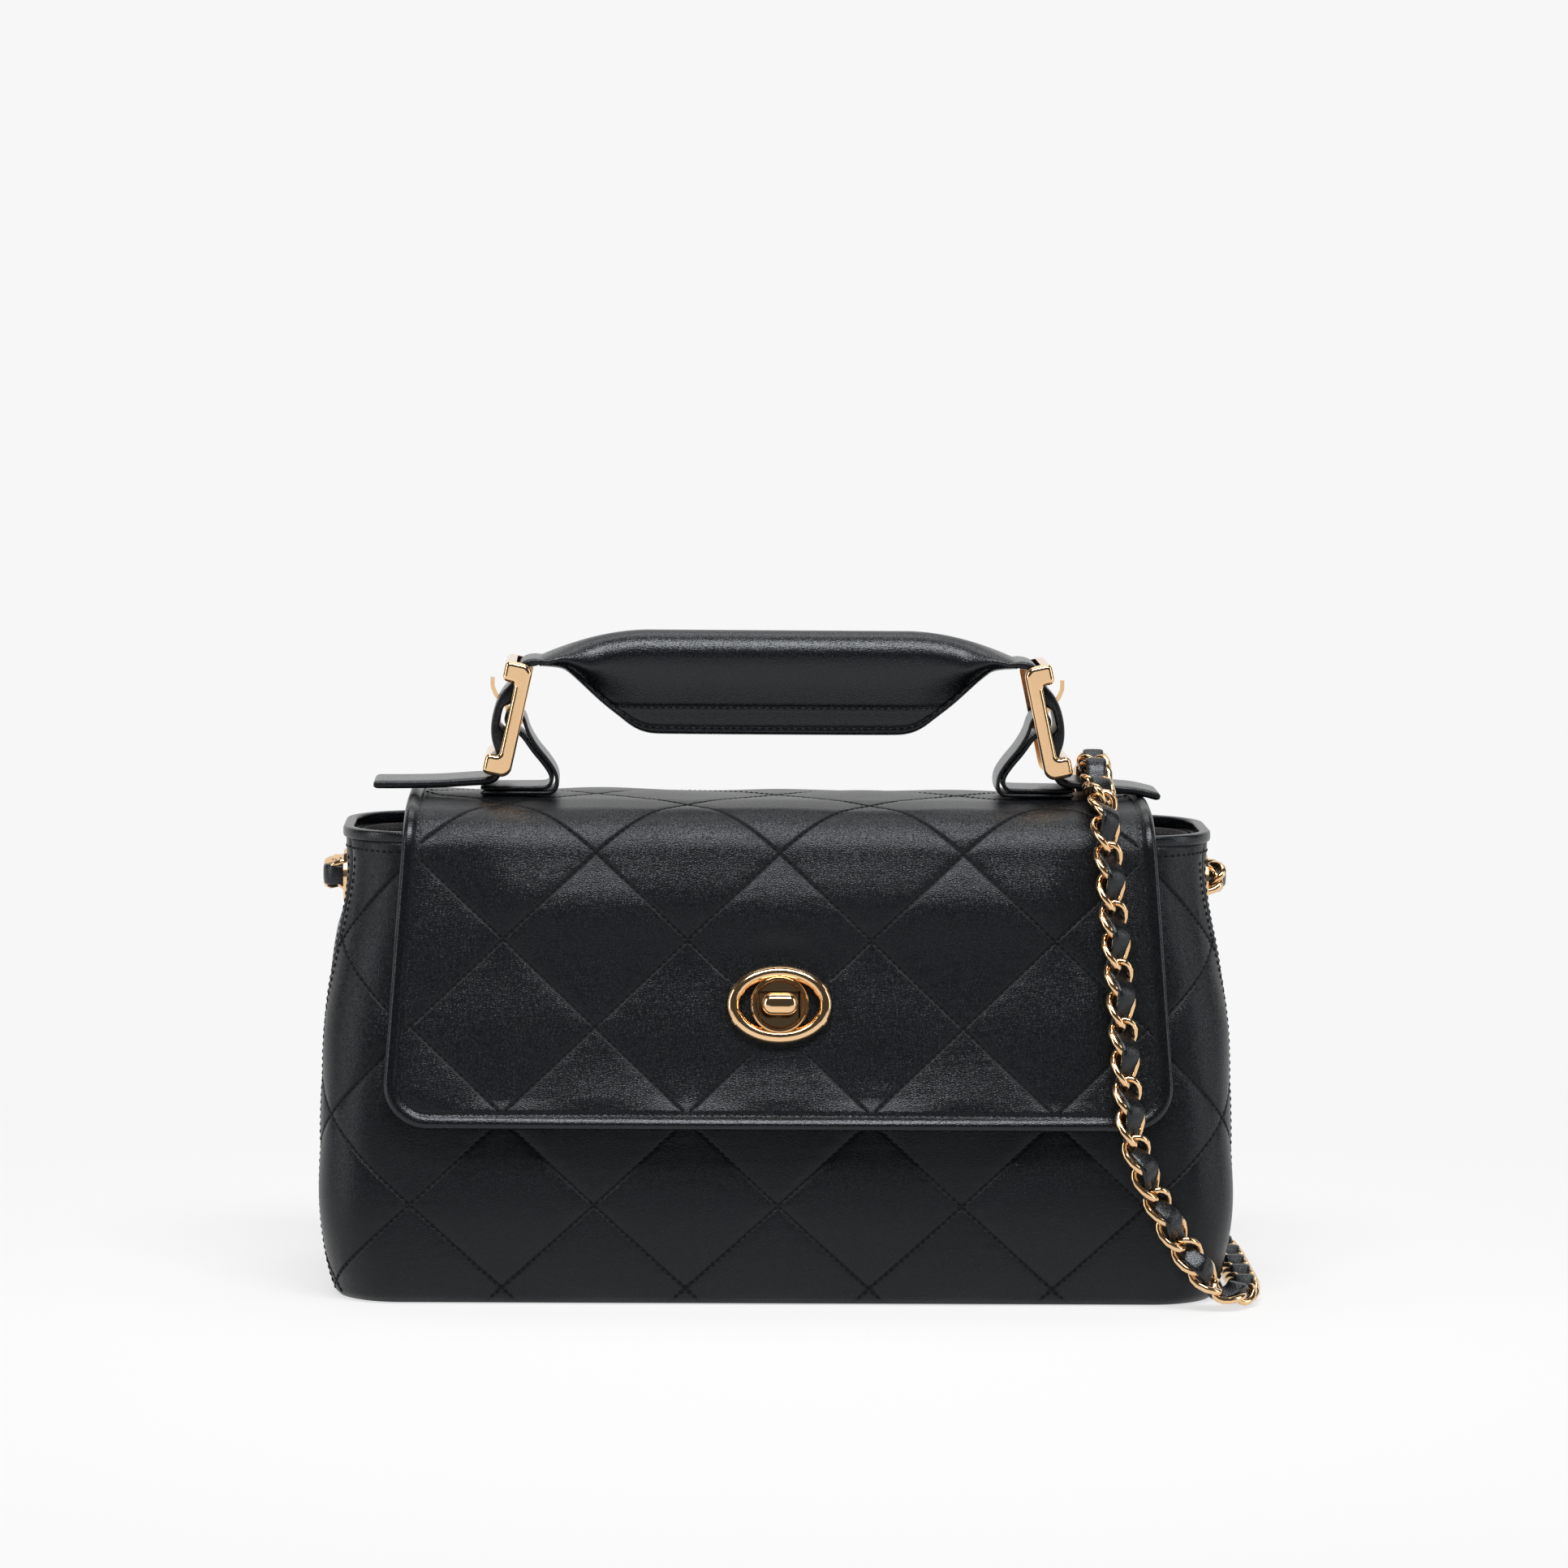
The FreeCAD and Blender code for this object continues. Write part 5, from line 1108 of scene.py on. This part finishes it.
v_span = ((3.6 - FLAP_ROW_START) / ROWS_UP, (FLAP_LONG - 4 - FLAP_ROW_START) / ROWS_UP)
counts, ways = quilt_lines((-2.2, 2.2), v_span, STITCH)
scale = np.array([QUILT_WIDE, ROWS_UP])
places = counts * scale + np.array([0, FLAP_ROW_START])
mask = (flap_edge(*places.T) > 4.2) & (np.hypot(places[:, 0], places[:, 1] - FLAP_LOCK) > 13)
sew("flap", flap_surface, places[mask], unit(ways * scale)[mask], 0.4, FLAP_MIDDLE, by_hinge)
low_half = float(flap_half(np.array(0.0)))
bend = np.linspace(0, np.pi / 2, 12)
run = np.linspace(FLAP_LONG - 3, FLAP_CORNER, 200)
inner = FLAP_CORNER - FLAP_SEAM
right = np.stack([flap_half(run) - FLAP_SEAM, run], 1)
round_x = low_half - FLAP_CORNER + inner * np.cos(bend)
round_right = np.stack([round_x, FLAP_CORNER - inner * np.sin(bend)], 1)
edge_line = np.concatenate([right, round_right])
edge_line = np.concatenate([edge_line, edge_line[::-1] * np.array([-1, 1])])
sew_line("flap", flap_surface, edge_line, 0.3, FLAP_MIDDLE, by_hinge)
lap = np.stack([np.linspace(-85, 85, 300), np.full(300, FLAP_LONG - 3)], 1)
sew_line("hinge", flap_surface, lap, 0.3, FLAP_MIDDLE)
print("stitches noted on the flap", sum(len(rows) for rows in sewn["flap"][0]))

# %% [markdown]
# ## Handle
# The grip is a strap folded lengthwise over a filler. Its section is round at the fold and flat at the two
# lower edges, which are sewn together. Towards the ends the fold opens until the strap lies flat for the
# buckle. So the section is a function of the distance along the handle, and the rings follow it. The lower
# edge is a spline.

# %% Section of the grip
GRIP_FLAT, GRIP_END = 31.0, 57.5
GRIP_TOP, STRAP_TOP = 157.9, 151.4
LOW_EDGE = [(0, 132.6), (27, 132.6), (31.5, 132.8), (35, 134.2), (38, 136.6), (42.3, 139.9), (46, 143.3)]
LOW_EDGE += [(50, 147.1), (52.5, 149.0), (57.6, 149.2)]
low_line = spline_line([(x, 0, z) for x, z in LOW_EDGE])
CROWN, PLY_LINE, GRIP_SEAM = 0.74, 139.4, 1.7
FOLD_HALF, FOLD_MORE, EDGE_HALF, EDGE_MORE = 6.0, 3.4, 2.2, 7.1


def grip_rows(x):
    """Top, lower edge and the half thickness at the fold and at the lower edge, along the handle."""
    open_up = np.clip((np.abs(x) - GRIP_FLAT) / (GRIP_END - GRIP_FLAT), 0, 1)
    low = np.interp(np.abs(x), low_line[:, 0], low_line[:, 2])
    top = GRIP_TOP + (STRAP_TOP - GRIP_TOP) * open_up**1.9
    fold = FOLD_HALF + FOLD_MORE * smooth_step((open_up - 0.35) / 0.6)
    edge = EDGE_HALF + EDGE_MORE * smooth_step((open_up - 0.55) / 0.42)
    return top, low, fold, edge


def grip_half(up, tall, fold, edge, height):
    """Half thickness of the grip at a height above its lower edge."""
    down = np.clip(tall - up, 0, tall)
    rise = np.minimum(6.5, tall / 2)
    crown = fold * quarter_round(down / rise)
    side = edge + (fold - edge) * (1 - smooth_step((down - rise) / (tall - rise)))
    half = np.where(down < rise, crown, side)
    foot = quarter_round(up / 0.9)
    seams = 0.3 * hump(up, GRIP_SEAM, 0.4) * smooth_step((tall - 5) / 4)
    fold_line = 0.3 * hump(height, PLY_LINE, 0.45) * smooth_step((tall - 17) / 2)
    return half * (0.35 + 0.65 * foot) - seams - fold_line


def grip_surface(places):
    """Points on the front of the grip: along the handle, and height above its lower edge."""
    x, up = places[..., 0], places[..., 1]
    top, low, fold, edge = grip_rows(x)
    return np.stack([x, -grip_half(up, top - low, fold, edge, low + up), low + up], -1)


def grip_back(places):
    return grip_surface(places) * np.array([1, -1, 1])


# %% [markdown]
# The rings have more points near the lower edge and round the crown, where the section bends most. One sewn
# line follows the lower edge. A second one runs level, where the inner ply ends. Both are on both sides.

# %% Grip
levels = np.concatenate([np.linspace(0, 0.4, 26)[:-1], np.linspace(0.4, CROWN, 9)[:-1]])
levels = np.concatenate([levels, CROWN + (1 - CROWN) * np.sin(np.linspace(0, np.pi / 2, 14))])
x = np.linspace(-GRIP_END, GRIP_END, 150)
top, low, _, _ = grip_rows(x)
front = grip_surface(np.stack([x[:, None] + 0 * levels, levels * (top - low)[:, None]], -1))
rear = front[:, ::-1] * np.array([1, -1, 1])
grip = ring_piece("handle_leather", np.concatenate([front, rear[:, 1:]], 1), grip_leather)
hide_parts("handle_grip", "handle_filler")
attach(grip, "handle")
GRIP_MIDDLE = (0, 0, 145)
for surface in (grip_surface, grip_back):
    for span, level in ((52, None), (38, PLY_LINE)):
        along = np.linspace(-span, span, 200)
        up = np.full(200, GRIP_SEAM) if level is None else level - grip_rows(along)[1]
        sew_line("handle", surface, np.stack([along, up], 1), 0.3, GRIP_MIDDLE)
print("handle faces", len(grip.data.polygons))

# %% [markdown]
# ## Straps, tails and chapes
# From the grip a strap runs down behind the end bars of the buckle, bulges over the bar and leaves below as
# a tail that lies on the flap. Between the end bars it is packed thicker towards the bar, above and below
# the loop that goes round it. A chape is a strip folded round the buckle bar: two plies down to a knee,
# then a foot sewn on the flap. Both are flat ribbons along a smooth line in the front view. They cross the
# pivot of the handle.

# %% Ribbons
LEAN = math.radians(12)
BAR_X, BAR_Z, BAR_LOOP = 63.4, 136.5, 2.28
PACK_MORE, PACK_AT, PACK_TALL = 1.9, 5.6, 2.4


def in_buckle(out, up):
    """A place in the front view from its distance out of and along the right buckle."""
    return (
        BAR_X + out * math.cos(LEAN) - up * math.sin(LEAN),
        BAR_Z + out * math.sin(LEAN) + up * math.cos(LEAN),
    )


def packing(line, side):
    """How much thicker a strap is towards the buckle bar."""
    up = np.abs((line[:, 2] - BAR_Z) * math.cos(LEAN) - (line[:, 0] * side - BAR_X) * math.sin(LEAN))
    return PACK_MORE * hump(up, PACK_AT, PACK_TALL) * smooth_step((up - 2.2) / 1.6)


def ribbon(name, controls, side, width, thick, count, packed=False):
    """A strap along a smooth line of the front view. side mirrors it to the left."""
    line = spline_line([(x * side, 0, z) for x, z in controls])
    (line,) = spaced(line, count)
    way = unit(np.gradient(line, axis=0))
    out = np.stack([-way[:, 2], 0 * way[:, 0], way[:, 0]], 1)
    across, outward = oval_section(width, thick, 0.32, 24)
    taper = np.ones(count)
    taper[[0, -1]] = 0.55
    taper[[1, -2]] = 0.9
    if packed:
        taper[:9] = np.linspace(0.2, 1, 9)
    rings = line[:, None] + out[:, None] * (outward * taper[:, None])[..., None]
    if packed:
        inward = np.sign((out * (np.array([BAR_X * side, 0, BAR_Z]) - line)).sum(1))[:, None]
        more = np.clip(outward * inward / (thick / 2), 0, 1) * inward * packing(line, side)[:, None]
        rings += out[:, None] * more[..., None]
    rings[..., 1] += across
    piece = ring_piece(name, rings, smooth)
    piece.data.materials.append(edge_paint)
    for face in piece.data.polygons:
        face.material_index = int(abs(face.normal.y) > 0.75)
    return piece


# %% Straps with their tails
STRAP_WIDE, STRAP_THICK = 19.0, 2.1
BULGE = [(1.1, 13.6), (1.1, 9.3), (4.4, 4.2), (4.4, -4.2), (1.1, -9.3), (1.15, -13.2)]
TAILS = {
    "left": (-1, [(74, 121.5), (84, 120.7), (97.2, 120.7)]),
    "right": (1, [(74, 121.4), (81, 120.5), (87.5, 120.1), (92.2, 118.7)]),
}
for name, (side, tail) in TAILS.items():
    controls = [(54.6, 150.75), (57.5, 150.55)]
    controls += [in_buckle(out, up) for out, up in BULGE]
    controls += [(68.6, 121.75), *tail]
    strap = ribbon(f"{name}_strap_leather", controls, side, STRAP_WIDE, STRAP_THICK, 130, True)
    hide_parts(f"{name}_strap", f"{name}_tail")
    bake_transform(strap)
print("straps made for", list(TAILS))

# %% Chapes
CHAPE_WIDE, PLY = 17.0, 1.05
UNDER_PLY = [
    (71.5, 118.78), (57, 118.78), (53.4, 118.9), (52.9, 122.9), (55.2, 126.6), (58.0, 129.8), (60.3, 133.6),
]
OVER_PLY = [
    (61.6, 132.9), (58.95, 128.95), (56.2, 125.8), (54.2, 122.7), (54.9, 120.25), (57.6, 119.95),
    (71.5, 119.95),
]
turns = [math.radians(angle) for angle in (165, 105, 45, -15, -75)]
round_bar = [(BAR_X + BAR_LOOP * math.cos(turn), BAR_Z + BAR_LOOP * math.sin(turn)) for turn in turns]
for name, (side, _) in TAILS.items():
    controls = UNDER_PLY + round_bar + OVER_PLY
    chape = ribbon(f"{name}_chape_leather", controls, side, CHAPE_WIDE, PLY, 130)
    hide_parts(f"{name}_chape")
    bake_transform(chape)
print("chapes made")

# %% [markdown]
# ## Stitches
# Every noted stitch gets a short thread: a little barrel of six sides that dips into the leather at both
# ends. The same tree that placed the links places them, with a small spread in size and a fixed seed.

# %% Thread
steps = np.linspace(-1, 1, 5)
angle = 2 * np.pi * np.arange(6) / 6
girth = np.sqrt(1 - (0.92 * steps) ** 2)
stitch_rings = np.stack(
    [
        0.5 * girth[:, None] * np.cos(angle),
        0.5 * steps[:, None] + 0 * angle,
        0.5 * girth[:, None] * np.sin(angle) - 0.5 * (steps**2)[:, None],
    ],
    -1,
)
stitch_shape = ring_piece("stitch_shape", stitch_rings, thread)
stitch_tree = copies_tree("stitches", True)
STITCH_SIZE = (0.58, 1.35, 0.34)
BODIES = {"body": "bag_body", "flap": "flap", "hinge": None, "handle": "handle"}
for group, rows in sewn.items():
    points, ways, facings = (np.concatenate(row) for row in rows)
    piece = copies_piece(
        f"{group}_stitches", stitch_tree, stitch_shape, points, ways, facings, STITCH_SIZE, thread, 0.08, 7
    )
    if BODIES[group]:
        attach(piece, BODIES[group])
    else:
        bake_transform(piece)
    print(group, "stitches", len(points))
bpy.data.objects.remove(stitch_shape)

# %% [markdown]
# ## Metal and board
# The buckles, bars, prongs, lock, eyelets and toggles keep the meshes of the CAD and take the gold. The
# board under the lining takes its own material.

# %% Materials of the CAD nodes
PAIRS = ("buckle", "buckle_bar", "prong", "eyelet", "eyelet_washer", "chain_toggle")
METAL = [f"{side}_{part}" for part in PAIRS for side in ("left", "right")]
METAL += ["lock_frame", "lock_frame_back", "lock_base", "lock_washer", "lock_knob", "lock_spindle"]
for name, paint in [(name, gold) for name in METAL] + [("base_board", board)]:
    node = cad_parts[name]
    for number in range(len(node.material_slots)):
        node.material_slots[number].material = paint
print("CAD nodes with gold", len(METAL))
